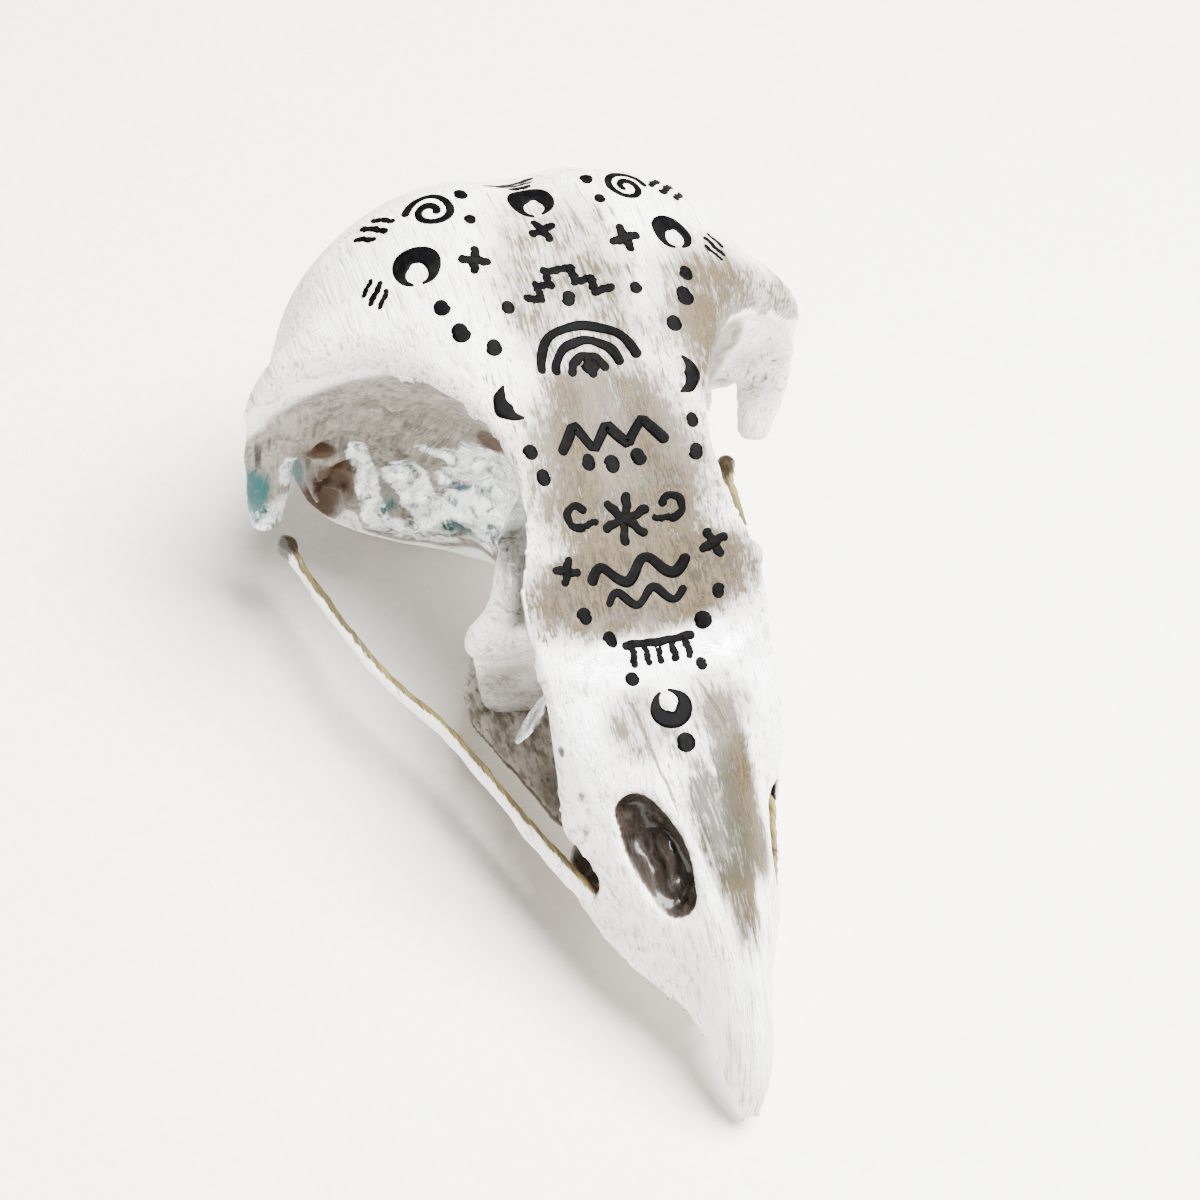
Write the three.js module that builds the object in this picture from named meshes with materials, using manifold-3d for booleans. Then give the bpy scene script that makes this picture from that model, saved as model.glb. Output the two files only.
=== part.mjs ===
// A barn owl's skull without its lower jaw, at its real size, as a three.js scene graph.
// Millimetres, +Z up. The beak points along -Y, the bird's right side is -X, and the skull rests on
// the plane z = 0 by the tip of its beak and by two knobs under the braincase.
// One body is made whole from lofts and cutters, then parted by thin cuts into its named bones.
import * as THREE from 'three';
import { mergeVertices } from 'three/addons/utils/BufferGeometryUtils.js';
import Module from 'manifold-3d';

// Driving sizes
const beakTipY = -28.4;
const occiputY = 38;
const septumHalf = 1.2;
const browThickness = 1.1;
const cutWidth = 0.3;
const furrowHalf = 3.4;

// Each outline gives a size at stations along the skull, as [y, size].
const halfWidth = through([
  [beakTipY, 0], [-28.1, 0.7], [-27.6, 1.15], [-26.5, 1.65], [-25, 2.1], [-22.6, 2.75], [-20.2, 4], [-18.4, 5],
  [-16.8, 5.9], [-15, 6.6], [-13, 7.2], [-11, 7.4], [-8.3, 7.7], [-5, 7.8], [-1, 8.2], [2, 7.4], [4.6, 6.8],
  [7.5, 7], [10.2, 7.9], [12.8, 9.6], [15.4, 11.8], [17.4, 15], [18.7, 18.6], [19.8, 20.1], [21, 19.6],
  [22.5, 18.5], [24, 17.6], [28, 15.9], [31.5, 13.4], [34.5, 10], [36.6, 6.4], [37.7, 3], [occiputY, 0]]);
const crestHeight = through([
  [beakTipY, 0], [-28.2, 2.6], [-27.5, 5.3], [-26.5, 7.3], [-25.2, 9], [-22.5, 11.7], [-19.4, 13.9],
  [-16.3, 15.7], [-12.4, 17.1], [-7.7, 18.8], [-5.1, 20], [-0.3, 23], [2.8, 25.2], [6.6, 27.6], [13.3, 31],
  [19, 33], [24, 33.6], [28, 32.2], [32, 28.2], [35, 22.6], [37.2, 17.6], [occiputY, 13.5]]);
const edgeHeight = through([
  [beakTipY, 0], [-27.5, 2], [-26.5, 3.2], [-25, 4.2], [-22, 5.2], [-18.5, 5.7], [-14, 6.6], [-11.5, 8.4],
  [-9, 12.6], [-6.5, 16.6], [-3.5, 19.6], [-1, 22], [2, 24.8], [4.6, 26], [10, 27.8], [12.8, 28.2], [15.4, 27.6],
  [17.4, 26.2], [18.7, 23.8], [19.8, 21.6], [22, 19.2], [26, 17.4], [31, 15.4], [occiputY, 13.5]]);
const baseHeight = through([
  [beakTipY, 0], [-27.5, 2.4], [-26, 4.3], [-22, 6.4], [-18, 7], [-12, 7.2], [-6, 6], [4, 5.4], [14, 4.2],
  [19, 4.8], [22, 3.8], [26, 1.3], [30, 1.8], [33, 4], [36, 8], [occiputY, 13.5]]);
const baseHalf = through([
  [beakTipY, 0], [-26, 1.4], [-18, 3.6], [-10, 4], [4, 3], [15, 3.2], [18.5, 8], [21, 12.6], [27, 12.4], [33, 8],
  [occiputY, 0]]);
const topPower = through([[beakTipY, 2], [-18, 1.9], [-15, 1.9], [-12, 2.3], [-10, 3.4], [-8, 4.6], [-2, 5.5], [8, 4], [14, 2.8],
  [18.7, 1.9], [20, 1.9], [22, 2.1], [24.5, 2.5], [30, 2.3], [occiputY, 2.2]]);
const sidePower = through([[beakTipY, 2], [-10, 2.4], [14, 2.6], [20, 4], [27, 3.4], [occiputY, 2]]);
const furrowDepth = through([[beakTipY, 0], [-10, 0], [-3, 0.7], [8, 1.2], [26, 1.3], [33, 0.7], [occiputY, 0]]);
const ringStation = through([[0, beakTipY], [0.04, -28], [0.14, -24.5], [0.33, -13], [0.5, 0], [0.62, 10],
  [0.72, 17], [0.8, 21], [0.9, 30], [0.96, 36], [1, occiputY]]);

// Paired forms are given for the side +X, and mirrored by side = -1.
const socket = { centre: [14.5, 7.4, 13.5], inner: 14.5 - septumHalf, outer: 20, front: 12.4, back: 12.4, top: 17, bottom: 34, round: 1 };
const cheek = { centre: [12.5, -5.2, 8.5], inner: 10.9, outer: 14, front: 6.7, back: 4.6, top: 13, bottom: 20, round: 0.62 };
const nostrilPath = [[4.3, -11.6, 16], [4.1, -13.6, 15.1], [3.6, -15.8, 14], [2.95, -18.9, 12.3]];
const nostrilHalf = through([[0, 1], [0.12, 1.4], [0.4, 1.8], [0.8, 1.65], [1, 1]]);
const jugalPath = [[5.6, -14, 7.6], [6.9, -11.8, 8], [8.3, -8.1, 8.1], [9.9, -3.2, 8.2], [11.5, 1.4, 8.3],
  [13.1, 4.6, 8.3], [14.3, 7.4, 8.3], [15.3, 10.8, 8.3], [16.5, 16.2, 8.1], [17.1, 19.6, 8]];
const jugalHalf = through([[0, 1.9], [0.1, 1.5], [0.25, 0.95], [0.45, 0.72], [0.9, 0.62], [0.95, 0.85], [1, 1.1]]);
const processPath = [[17.2, 20.6, 22.6], [18, 20.2, 19.5], [18.4, 19.9, 16.6], [18.6, 19.7, 13.6], [18.7, 19.5, 11.6]];
const processHalf = through([[0, 2.6], [0.3, 2.3], [0.7, 1.7], [1, 1.2]]);
const ectethmoidPath = [[4, -1.8, 21], [4.8, 0.4, 18], [5.5, 2.4, 14.6], [5.7, 3.2, 11.4], [5.7, 3, 6.9]];
const ectethmoidHalf = through([[0, 2.4], [0.25, 3.3], [0.55, 4.4], [0.8, 3.5], [1, 2.4]]);
const palatinePath = [[3.6, -14, 7.4], [3.9, -10.5, 6.8], [4.6, -6.2, 6.4], [5.4, -0.8, 6.4], [6.1, 3.4, 6.5], [5.8, 8.4, 5.6]];
const palatineHalf = through([[0, 0.8], [0.25, 0.9], [0.45, 1.8], [0.7, 2.7], [0.85, 2.7], [1, 1.2]]);
const kneePath = [[5.6, 7.6, 5.6], [3.4, 9, 5.2], [0.4, 9.8, 5.2]];
const baseKnob = { centre: [6.8, 25.6, 2.5], half: [2.6, 3.4, 2.5] };
const condyle = { centre: [0, 33.6, 4.6], half: [1.5, 1.7, 1.4] };
const quadrateRecess = { centre: [14, 21, 8.4], half: [2.6, 2.4, 3.2] };
const temporalHollow = { centre: [22.2, 26.2, 15.5], half: [6.6, 5.4, 7.4] };
const processGap = { centre: [16.7, 21, 13], half: [1.8, 4.2, 4.4] };
const foramen = { centre: [0, 36, 8], half: [2.7, 3.4, 2.4] };

// Where the cuts lie.
const beakBackY = -10;
const hingeY = -5.4;
const browBackY = 13;
const besideSeptum = 2.45;
const underBrow = { y: -5.4, height: 15.6, rise: 0.5 };

// Each bone's name, a place inside it, and its colour.
const middleBones = [
  ['upper_beak', [0, -20, 10], '#e9e8e4'],
  ['forehead', [0, 5, 24.6], '#d9d0c0'],
  ['braincase', [0, 26, 20], '#dedbd3'],
  ['orbital_septum', [0, 5, 12], '#d6dadb'],
];
const pairedBones = [
  ['ectethmoid', [5.7, 3.5, 12], '#dcdedd'],
  ['palatine', [6.1, 3.4, 6.5], '#c9b49a'],
  ['jugal_bar', [11.5, 1.4, 8.3], '#e4dfd2'],
  ['postorbital_process', [18.6, 19.7, 13.6], '#d5d6cf'],
];

// A smooth function through a table of [place, value].
function through(table) {
  const slope = (i) => {
    const a = table[Math.max(i - 1, 0)];
    const b = table[Math.min(i + 1, table.length - 1)];
    return (b[1] - a[1]) / (b[0] - a[0]);
  };
  return (place) => {
    if (place <= table[0][0]) return table[0][1];
    for (let i = 1; i < table.length; i++) {
      const [x0, v0] = table[i - 1];
      const [x1, v1] = table[i];
      if (place > x1) continue;
      const t = (place - x0) / (x1 - x0);
      const s = t * t * (3 - 2 * t);
      const bend0 = v0 + slope(i - 1) * (place - x0);
      const bend1 = v1 + slope(i) * (place - x1);
      return bend0 * (1 - s) + bend1 * s;
    }
    return table[table.length - 1][1];
  };
}

// A closed form from a sphere's own grid: shape(t, angle) places the vertex at t, from pole to pole.
function form(around, along, shape) {
  const geometry = merged(new THREE.SphereGeometry(1, around, along));
  const position = geometry.getAttribute('position');
  const point = new THREE.Vector3();
  for (let i = 0; i < position.count; i++) {
    point.fromBufferAttribute(position, i);
    const t = Math.acos(THREE.MathUtils.clamp(point.y, -1, 1)) / Math.PI;
    const placed = shape(t, Math.atan2(point.z, -point.x));
    position.setXYZ(i, placed.x, placed.y, placed.z);
  }
  return solidOf(geometry);
}

const signedPower = (value, power) => Math.sign(value) * Math.abs(value) ** power;

// The top of the skull at x across and y along, which the brows, the furrow and the beak's arch follow.
function topHeight(x, y) {
  const reach = Math.min(Math.abs(x) / Math.max(halfWidth(y), 0.01), 1);
  const power = topPower(y);
  const arch = (1 - reach ** power) ** (1 / power);
  const furrow = furrowDepth(y) * Math.exp(-((x / furrowHalf) ** 2));
  return edgeHeight(y) + (crestHeight(y) - edgeHeight(y) - furrow) * arch;
}

// The whole skull before its hollows: rings across Y from the beak's tip to the occiput.
function skullBlock() {
  return form(36, 62, (t, angle) => {
    const y = ringStation(t);
    const c = Math.cos(angle);
    const s = Math.sin(angle);
    if (s >= 0) {
      const x = halfWidth(y) * signedPower(c, 2 / topPower(y));
      return new THREE.Vector3(x, y, topHeight(x, y));
    }
    const depth = signedPower(-s, 2 / sidePower(y));
    const width = THREE.MathUtils.lerp(halfWidth(y), baseHalf(y), depth);
    const x = width * signedPower(c, 2 / sidePower(y));
    return new THREE.Vector3(x, y, THREE.MathUtils.lerp(edgeHeight(y), baseHeight(y), depth));
  });
}

// An egg with its own reach each way, kept the brow's thickness under the top of the skull.
function hollowUnderBrow(size, side, around, along) {
  const [cx, cy, cz] = size.centre;
  return form(around, along, (t, angle) => {
    const out = signedPower(Math.cos(t * Math.PI), size.round);
    const ring = Math.sin(t * Math.PI) ** size.round;
    const back = ring * signedPower(Math.cos(angle), size.round);
    const up = ring * signedPower(Math.sin(angle), size.round);
    const x = cx + out * (out < 0 ? size.inner : size.outer);
    const y = cy + back * (back < 0 ? size.front : size.back);
    const z = cz + up * (up < 0 ? size.bottom : size.top);
    const roof = topHeight(Math.min(x, halfWidth(y)), y) - browThickness;
    return new THREE.Vector3(x * side, y, Math.min(z, roof));
  });
}

function egg(size, side, around = 20, along = 14) {
  const [cx, cy, cz] = size.centre;
  const turn = new THREE.Euler(size.pitch ?? 0, (size.roll ?? 0) * side, (size.yaw ?? 0) * side, 'ZXY');
  return form(around, along, (t, angle) => {
    const ring = Math.sin(t * Math.PI);
    const point = new THREE.Vector3(ring * Math.cos(angle), Math.cos(t * Math.PI), ring * Math.sin(angle));
    point.multiply(new THREE.Vector3(...size.half)).applyEuler(turn);
    return point.add(new THREE.Vector3(cx * side, cy, cz));
  });
}

// A bar along a smooth path, with a half width across and a half thickness, and round ends.
function bar(path, side, half, thick, across, around = 14, along = 22) {
  const curve = new THREE.CatmullRomCurve3(path.map(([x, y, z]) => new THREE.Vector3(x * side, y, z)));
  const wide = new THREE.Vector3(across[0] * side, across[1], across[2]).normalize();
  return form(around, along, (t, angle) => {
    const end = Math.min(t, 1 - t) * along;
    const u = THREE.MathUtils.clamp((t * along - 1) / (along - 2), 0, 1);
    const size = end < 1.5 ? [0, 0.86][Math.round(end)] : 1;
    const tangent = curve.getTangent(u);
    const over = new THREE.Vector3().crossVectors(tangent, wide).normalize();
    const wideHere = new THREE.Vector3().crossVectors(over, tangent);
    return curve.getPoint(u)
      .addScaledVector(tangent, end < 0.5 ? Math.sign(t - 0.5) * 0.35 * thick(u) : 0)
      .addScaledVector(wideHere, half(u) * size * Math.cos(angle))
      .addScaledVector(over, thick(u) * size * Math.sin(angle));
  });
}

// A thin cut: a slab through a point, with its thin direction turned about X by tilt.
function slab(centre, size, tilt = 0) {
  const geometry = new THREE.BoxGeometry(...size).rotateX(tilt).translate(...centre);
  return solidOf(merged(geometry));
}

const wasm = await Module();
wasm.setup();

// The geometry with its seams closed, holding positions alone.
function merged(geometry) {
  geometry.deleteAttribute('normal');
  geometry.deleteAttribute('uv');
  return mergeVertices(geometry, 1e-4);
}

// A solid from a closed geometry, with its faces turned round where its rings run the other way.
function solidOf(geometry) {
  const vertProperties = Float32Array.from(geometry.getAttribute('position').array);
  const corners = Array.from(geometry.index.array);
  const solid = new wasm.Manifold(new wasm.Mesh({ numProp: 3, vertProperties, triVerts: Uint32Array.from(corners) }));
  if (solid.volume() > 0) return solid;
  return new wasm.Manifold(new wasm.Mesh({ numProp: 3, vertProperties, triVerts: Uint32Array.from(corners.reverse()) }));
}

const union = (solids) => solids.reduce((whole, solid) => whole.add(solid));

function wholeSkull() {
  const hollows = [egg(foramen, 1, 12, 8)];
  const bones = [egg(condyle, 1, 10, 8)];
  for (const side of [-1, 1]) {
    hollows.push(hollowUnderBrow(socket, side, 24, 18), hollowUnderBrow(cheek, side, 16, 12));
    hollows.push(bar(nostrilPath, side, nostrilHalf, () => 1.9, [1, 0, -0.7], 16, 12));
    hollows.push(egg(quadrateRecess, side, 12, 8), egg(temporalHollow, side, 16, 12), egg(processGap, side, 12, 8));
    bones.push(bar(jugalPath, side, jugalHalf, () => 0.55, [0.3, 0.3, 1], 8, 26));
    bones.push(bar(processPath, side, processHalf, () => 0.75, [1, -0.3, 0], 12, 12));
    bones.push(bar(ectethmoidPath, side, ectethmoidHalf, () => 1.2, [1, 0.2, 0], 14, 12));
    bones.push(bar(palatinePath, side, palatineHalf, () => 0.45, [1, 0.3, 0], 10, 16));
    bones.push(bar(kneePath, side, () => 1.1, () => 0.45, [0.2, 1, 0], 8, 8));
    bones.push(egg(baseKnob, side, 12, 8));
  }
  return skullBlock().subtract(union(hollows)).add(union(bones));
}

// The thin cuts that part the whole into its bones. Three stand across the skull, at the back of the
// beak, at the hinge before the brow and behind the brow. One lies under the brow with its slope, and
// the others part the plates beside the septum, the palatines and the processes.
function parting() {
  const slope = Math.atan(underBrow.rise);
  const heightAt = (y) => underBrow.height + underBrow.rise * (y - underBrow.y);
  const sloping = (y0, y1, width) => {
    const y = (y0 + y1) / 2;
    return slab([0, y, heightAt(y)], [width, (y1 - y0) / Math.cos(slope), cutWidth], slope);
  };
  const cuts = [
    slab([0, beakBackY, heightAt(beakBackY) / 2 - 2], [60, cutWidth, heightAt(beakBackY) + 4]),
    slab([0, hingeY, heightAt(hingeY) + 9.9], [20, cutWidth, 20]),
    slab([0, browBackY, 18], [26.4, cutWidth, 44]),
    sloping(beakBackY, hingeY, 6.4),
    sloping(hingeY, browBackY, 24),
  ];
  for (const side of [-1, 1]) {
    const beside = slab([side * besideSeptum, 0.8, 14], [cutWidth, 13.6, 30]);
    const brow = slab([0, 0.8 - 15 * Math.sin(slope), heightAt(0.8) + 15 * Math.cos(slope)], [60, 60, 30], slope);
    const behind = slab([side * 7.3, 7.45, 17], [10, cutWidth, 19]);
    cuts.push(beside.add(behind).subtract(brow));
    cuts.push(slab([side * besideSeptum, 9.4, 5.5], [cutWidth, 4.4, 4]));
    cuts.push(slab([side * 6, 2.5, 7.45], [6.6, 10.8, cutWidth]));
    cuts.push(slab([side * 18.6, 20, 16.2], [6.4, 6, cutWidth]));
  }
  return union(cuts);
}

// The bone that holds a named place, out of the pieces left by the cuts.
function boneAt(pieces, [x, y, z]) {
  const probe = slab([x, y, z], [0.2, 0.2, 0.2]);
  const found = pieces.filter((piece) => !piece.intersect(probe).isEmpty());
  if (found.length !== 1) throw new Error(`${found.length} pieces at ${x}, ${y}, ${z}`);
  return found[0];
}

function meshOf(solid, name, colour) {
  const { vertProperties, triVerts } = solid.getMesh();
  const geometry = new THREE.BufferGeometry();
  geometry.setAttribute('position', new THREE.BufferAttribute(Float32Array.from(vertProperties), 3));
  geometry.setIndex(new THREE.BufferAttribute(Uint32Array.from(triVerts), 1));
  geometry.computeVertexNormals();
  const mesh = new THREE.Mesh(geometry, new THREE.MeshStandardMaterial({ color: colour, roughness: 0.5, metalness: 0.05 }));
  mesh.name = name;
  return mesh;
}

function owlSkull() {
  const pieces = wholeSkull().subtract(parting()).decompose();
  const skull = new THREE.Group();
  skull.name = 'owl_skull';
  skull.position.y = -(beakTipY + occiputY) / 2;
  for (const [name, place, colour] of middleBones) {
    skull.add(meshOf(boneAt(pieces, place), name, colour));
  }
  for (const [name, [x, y, z], colour] of pairedBones) {
    skull.add(meshOf(boneAt(pieces, [x, y, z]), `${name}_left`, colour));
    skull.add(meshOf(boneAt(pieces, [-x, y, z]), `${name}_right`, colour));
  }
  return skull;
}

export default owlSkull();
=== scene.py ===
"""A barn owl's skull with brushed pearl paint and a drawing in black ink, on a pale floor.

Sizes are in millimetres in the skull's own frame and become metres when a mesh is finished.
The beak points along -Y, the bird's right side is -X, and the floor is z = 0.
"""

import logging
import math
from dataclasses import dataclass, field
from enum import Enum
from typing import Callable, ClassVar, Iterable, Sequence

import bmesh
import bpy
import numpy as np
from bpy.types import Material, Mesh, Node, NodeTree, Object
from mathutils import Euler, Matrix, Vector
from mathutils.bvhtree import BVHTree


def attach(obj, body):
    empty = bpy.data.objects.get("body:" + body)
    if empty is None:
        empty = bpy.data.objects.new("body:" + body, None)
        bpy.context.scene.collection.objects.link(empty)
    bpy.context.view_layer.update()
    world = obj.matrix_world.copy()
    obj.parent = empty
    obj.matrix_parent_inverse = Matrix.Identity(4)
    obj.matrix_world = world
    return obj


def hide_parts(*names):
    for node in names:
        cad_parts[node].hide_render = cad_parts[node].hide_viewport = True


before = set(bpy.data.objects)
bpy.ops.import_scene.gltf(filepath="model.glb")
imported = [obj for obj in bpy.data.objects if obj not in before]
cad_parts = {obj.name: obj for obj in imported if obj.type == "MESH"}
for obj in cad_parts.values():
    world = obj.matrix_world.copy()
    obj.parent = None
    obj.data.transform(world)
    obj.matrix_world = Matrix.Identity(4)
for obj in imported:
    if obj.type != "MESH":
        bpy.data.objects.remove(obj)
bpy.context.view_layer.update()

LOG = logging.getLogger("owl_skull")
MM = 0.001
BEAK_TIP_Y = -28.4
OCCIPUT_Y = 38.0
CENTRE_Y = (BEAK_TIP_Y + OCCIPUT_Y) / 2
SIDES = (-1, 1)
PRIMES = (73856093, 19349663, 83492791)
MIXER = 1274126177
WORD = 0x7FFFFFFF
GOLDEN_ANGLE = 2.39996
Pair = tuple[float, float]
Triple = tuple[float, float, float]
Colour = Triple
Shape = Callable[[np.ndarray, np.ndarray], np.ndarray]


# Outlines and curves


@dataclass(frozen=True)
class Outline:
    """A size that changes smoothly from station to station, as (place, size) pairs."""

    table: tuple[Pair, ...]

    def __call__(self, place: np.ndarray | float) -> np.ndarray:
        """Gives the size at each place.

        Args:
            place: Places along the outline.

        Returns:
            The sizes there.
        """
        at, size = np.array(self.table, float).T
        slope = np.empty_like(size)
        slope[1:-1] = (size[2:] - size[:-2]) / (at[2:] - at[:-2])
        slope[0] = (size[1] - size[0]) / (at[1] - at[0])
        slope[-1] = (size[-1] - size[-2]) / (at[-1] - at[-2])
        spot = np.clip(np.asarray(place, float), at[0], at[-1])
        i = np.clip(np.searchsorted(at, spot), 1, len(at) - 1)
        t = (spot - at[i - 1]) / (at[i] - at[i - 1])
        s = t * t * (3 - 2 * t)
        bend0 = size[i - 1] + slope[i - 1] * (spot - at[i - 1])
        bend1 = size[i] + slope[i] * (spot - at[i])
        return bend0 * (1 - s) + bend1 * s


@dataclass(frozen=True)
class Course:
    """A smooth course through points, given for the side +X."""

    points: tuple[Triple, ...]

    def at(self, u: np.ndarray, side: int = 1) -> np.ndarray:
        """Gives the points at u, from 0 to 1, on one side of the skull."""
        knots = np.array(self.points, float) * (side, 1, 1)
        knots = np.vstack([2 * knots[0] - knots[1], knots, 2 * knots[-1] - knots[-2]])
        spot = np.clip(u, 0, 1) * (len(self.points) - 1)
        i = np.minimum(spot.astype(int), len(self.points) - 2)
        t = (spot - i)[:, None]
        a, b, c, d = (knots[i + k] for k in range(4))
        square, cube = 2 * a - 5 * b + 4 * c - d, 3 * b - a - 3 * c + d
        return 0.5 * (2 * b + (c - a) * t + square * t**2 + cube * t**3)

    def heading(self, u: np.ndarray, side: int = 1) -> np.ndarray:
        """Gives the unit direction of the course at u."""
        ahead = self.at(np.clip(u + 1e-3, 0, 1), side) - self.at(np.clip(u - 1e-3, 0, 1), side)
        return ahead / np.linalg.norm(ahead, axis=1, keepdims=True)


def steady(size: float) -> Outline:
    """Gives an outline with one size all along."""
    return Outline(((0, size), (1, size)))


def signed_power(value: np.ndarray, power: np.ndarray | float) -> np.ndarray:
    """Raises a size to a power and keeps its sign."""
    return np.sign(value) * np.abs(value) ** power


def fade(value: np.ndarray, low: float, high: float) -> np.ndarray:
    """Rises smoothly from 0 at low to 1 at high, and the other way where low is above high."""
    t = np.clip((value - low) / (high - low), 0, 1)
    return t * t * (3 - 2 * t)


def scatter(cells: np.ndarray, key: int) -> np.ndarray:
    """Gives each cell a value from -1 to 1 that looks random but is the same every time."""
    x, y, z = (cells * PRIMES).T
    mixed = (x ^ y ^ z ^ key) & WORD
    mixed = ((mixed ^ (mixed >> 13)) * MIXER) & WORD
    return ((mixed ^ (mixed >> 16)) & 0xFFFF) / 32767.5 - 1


def grain(points: np.ndarray, size: float | Sequence[float], seed: int, octaves: int) -> np.ndarray:
    """Gives smooth noise at points.

    Args:
        points: Places in millimetres.
        size: The size of the largest lumps, the same each way or for each axis.
        seed: Which noise it is.
        octaves: How many finer layers it has.

    Returns:
        Values from about -1 to 1.
    """
    total, weight = np.zeros(len(points)), 0.0
    for layer in range(octaves):
        spot = points / np.asarray(size) * 2**layer + 17.3 * (seed + layer) + 1000
        cell = np.floor(spot).astype(np.int64)
        t = spot - cell
        t = t * t * (3 - 2 * t)
        value = np.zeros(len(points))
        for corner in np.ndindex(2, 2, 2):
            share = np.prod(np.where(corner, t, 1 - t), axis=1)
            value += share * scatter(cell + corner, seed * 7919 + layer * 104729)
        total += value / 1.7**layer
        weight += 1 / 1.7**layer
    return total / weight * 1.6


# Meshes


def form(name: str, around: int, along: int, shape: Shape) -> Object:
    """Makes a closed form from a sphere's own grid.

    Args:
        name: The object's name.
        around: Faces round each ring.
        along: Rings from pole to pole.
        shape: Places a vertex by its share of the way from pole to pole and its angle.

    Returns:
        The new object, in millimetres.
    """
    ball = bmesh.new()
    bmesh.ops.create_uvsphere(ball, u_segments=around, v_segments=along, radius=1)
    spots = np.array([v.co for v in ball.verts])
    t = np.arccos(np.clip(spots[:, 2], -1, 1)) / math.pi
    placed = shape(t, np.arctan2(spots[:, 1], spots[:, 0]))
    for vertex, spot in zip(ball.verts, placed):
        vertex.co = spot
    ball.normal_update()
    bmesh.ops.recalc_face_normals(ball, faces=ball.faces)
    return object_of(name, ball)


def object_of(name: str, made: bmesh.types.BMesh) -> Object:
    """Turns a bmesh into an object in the scene and frees it."""
    mesh = bpy.data.meshes.new(name)
    made.to_mesh(mesh)
    made.free()
    piece = bpy.data.objects.new(name, mesh)
    bpy.context.scene.collection.objects.link(piece)
    return piece


def remove(objects: Iterable[Object]) -> None:
    """Deletes helper objects and their meshes."""
    for item in list(objects):
        mesh = item.data
        bpy.data.objects.remove(item)
        bpy.data.meshes.remove(mesh)


def settle(piece: Object) -> None:
    """Applies a piece's modifiers to its mesh."""
    bpy.context.view_layer.update()
    seen = piece.evaluated_get(bpy.context.evaluated_depsgraph_get())
    mesh = bpy.data.meshes.new_from_object(seen)
    old = piece.data
    piece.modifiers.clear()
    piece.data = mesh
    mesh.name = piece.name
    bpy.data.meshes.remove(old)


def carve(piece: Object, cutters: Sequence[Object]) -> None:
    """Takes the cutters out of a piece and deletes them."""
    for cutter in cutters:
        cut = piece.modifiers.new("cut", "BOOLEAN")
        cut.operation = "DIFFERENCE"
        cut.solver = "MANIFOLD"
        cut.object = cutter
    settle(piece)
    remove(cutters)


def join(piece: Object, others: Sequence[Object]) -> None:
    """Puts the others' meshes into a piece and deletes them."""
    whole = bmesh.new()
    for item in (piece, *others):
        whole.from_mesh(item.data)
    whole.to_mesh(piece.data)
    whole.free()
    remove(others)


def remesh(piece: Object, voxel: float, smooth: int) -> None:
    """Makes one even skin of a piece, with a voxel size in millimetres, and smooths it."""
    skin = piece.modifiers.new("skin", "REMESH")
    skin.mode = "VOXEL"
    skin.voxel_size = voxel
    skin.adaptivity = 0
    soften = piece.modifiers.new("soften", "SMOOTH")
    soften.factor = 0.5
    soften.iterations = smooth
    settle(piece)


def vectors_of(items: bpy.types.bpy_prop_collection, name: str) -> np.ndarray:
    """Reads one vector of each item, such as each vertex's place."""
    vectors = np.empty(len(items) * 3, np.float32)
    items.foreach_get(name, vectors)
    return vectors.reshape(-1, 3).astype(float)


def move_spots(mesh: Mesh, spots: np.ndarray) -> None:
    """Moves a mesh's vertices."""
    mesh.vertices.foreach_set("co", spots.astype(np.float32).ravel())
    mesh.update()


def store(mesh: Mesh, name: str, values: np.ndarray) -> None:
    """Keeps a vector for each vertex under a name that materials read."""
    layer = mesh.attributes.new(name, "FLOAT_VECTOR", "POINT")
    layer.data.foreach_set("vector", values.astype(np.float32).ravel())


def ray_tree(mesh: Mesh) -> BVHTree:
    """Sorts a mesh's faces for casting rays at it."""
    return BVHTree.FromPolygons([v.co for v in mesh.vertices], [tuple(p.vertices) for p in mesh.polygons])


def finish_piece(piece: Object, finish: "Finish", nodes: Sequence[str]) -> None:
    """Sets a piece in the frame in metres, shades it smooth, dresses it and lets it ride.

    Args:
        piece: The piece, in millimetres in the skull's own frame.
        finish: Its finish.
        nodes: The solids that it stands for.
    """
    move_spots(piece.data, (vectors_of(piece.data.vertices, "co") - (0, CENTRE_Y, 0)) * MM)
    piece.data.polygons.foreach_set("use_smooth", np.ones(len(piece.data.polygons), bool))
    piece.data.materials.clear()
    piece.data.materials.append(finish.material())
    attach(piece, "root")
    if nodes:
        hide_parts(*nodes)
    LOG.info("%s: %d faces", piece.name, len(piece.data.polygons))


# Materials


class Sum:
    """A shader socket with arithmetic on it."""

    def __init__(self, tree: NodeTree, socket: bpy.types.NodeSocket) -> None:
        """Keeps the socket and the tree that it is in."""
        self.tree = tree
        self.socket = socket

    def _sum(self, operation: str, *terms: "Sum | float") -> "Sum":
        """Adds a Math node in this socket's tree."""
        return node(self.tree, "ShaderNodeMath", {"operation": operation}, dict(enumerate(terms)))

    def __add__(self, other: "Sum | float") -> "Sum":
        """Adds."""
        return self._sum("ADD", self, other)

    __radd__ = __add__

    def __sub__(self, other: "Sum | float") -> "Sum":
        """Takes away."""
        return self._sum("SUBTRACT", self, other)

    def __mul__(self, other: "Sum | float") -> "Sum":
        """Multiplies."""
        return self._sum("MULTIPLY", self, other)

    def size(self) -> "Sum":
        """Drops the sign."""
        return self._sum("ABSOLUTE", self)

    def between(self, low: float, high: float) -> "Sum":
        """Spreads low to high over 0 to 1, held at both ends."""
        sockets = {0: self, 1: low, 2: high}
        return node(self.tree, "ShaderNodeMapRange", {"interpolation_type": "SMOOTHSTEP"}, sockets)


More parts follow.
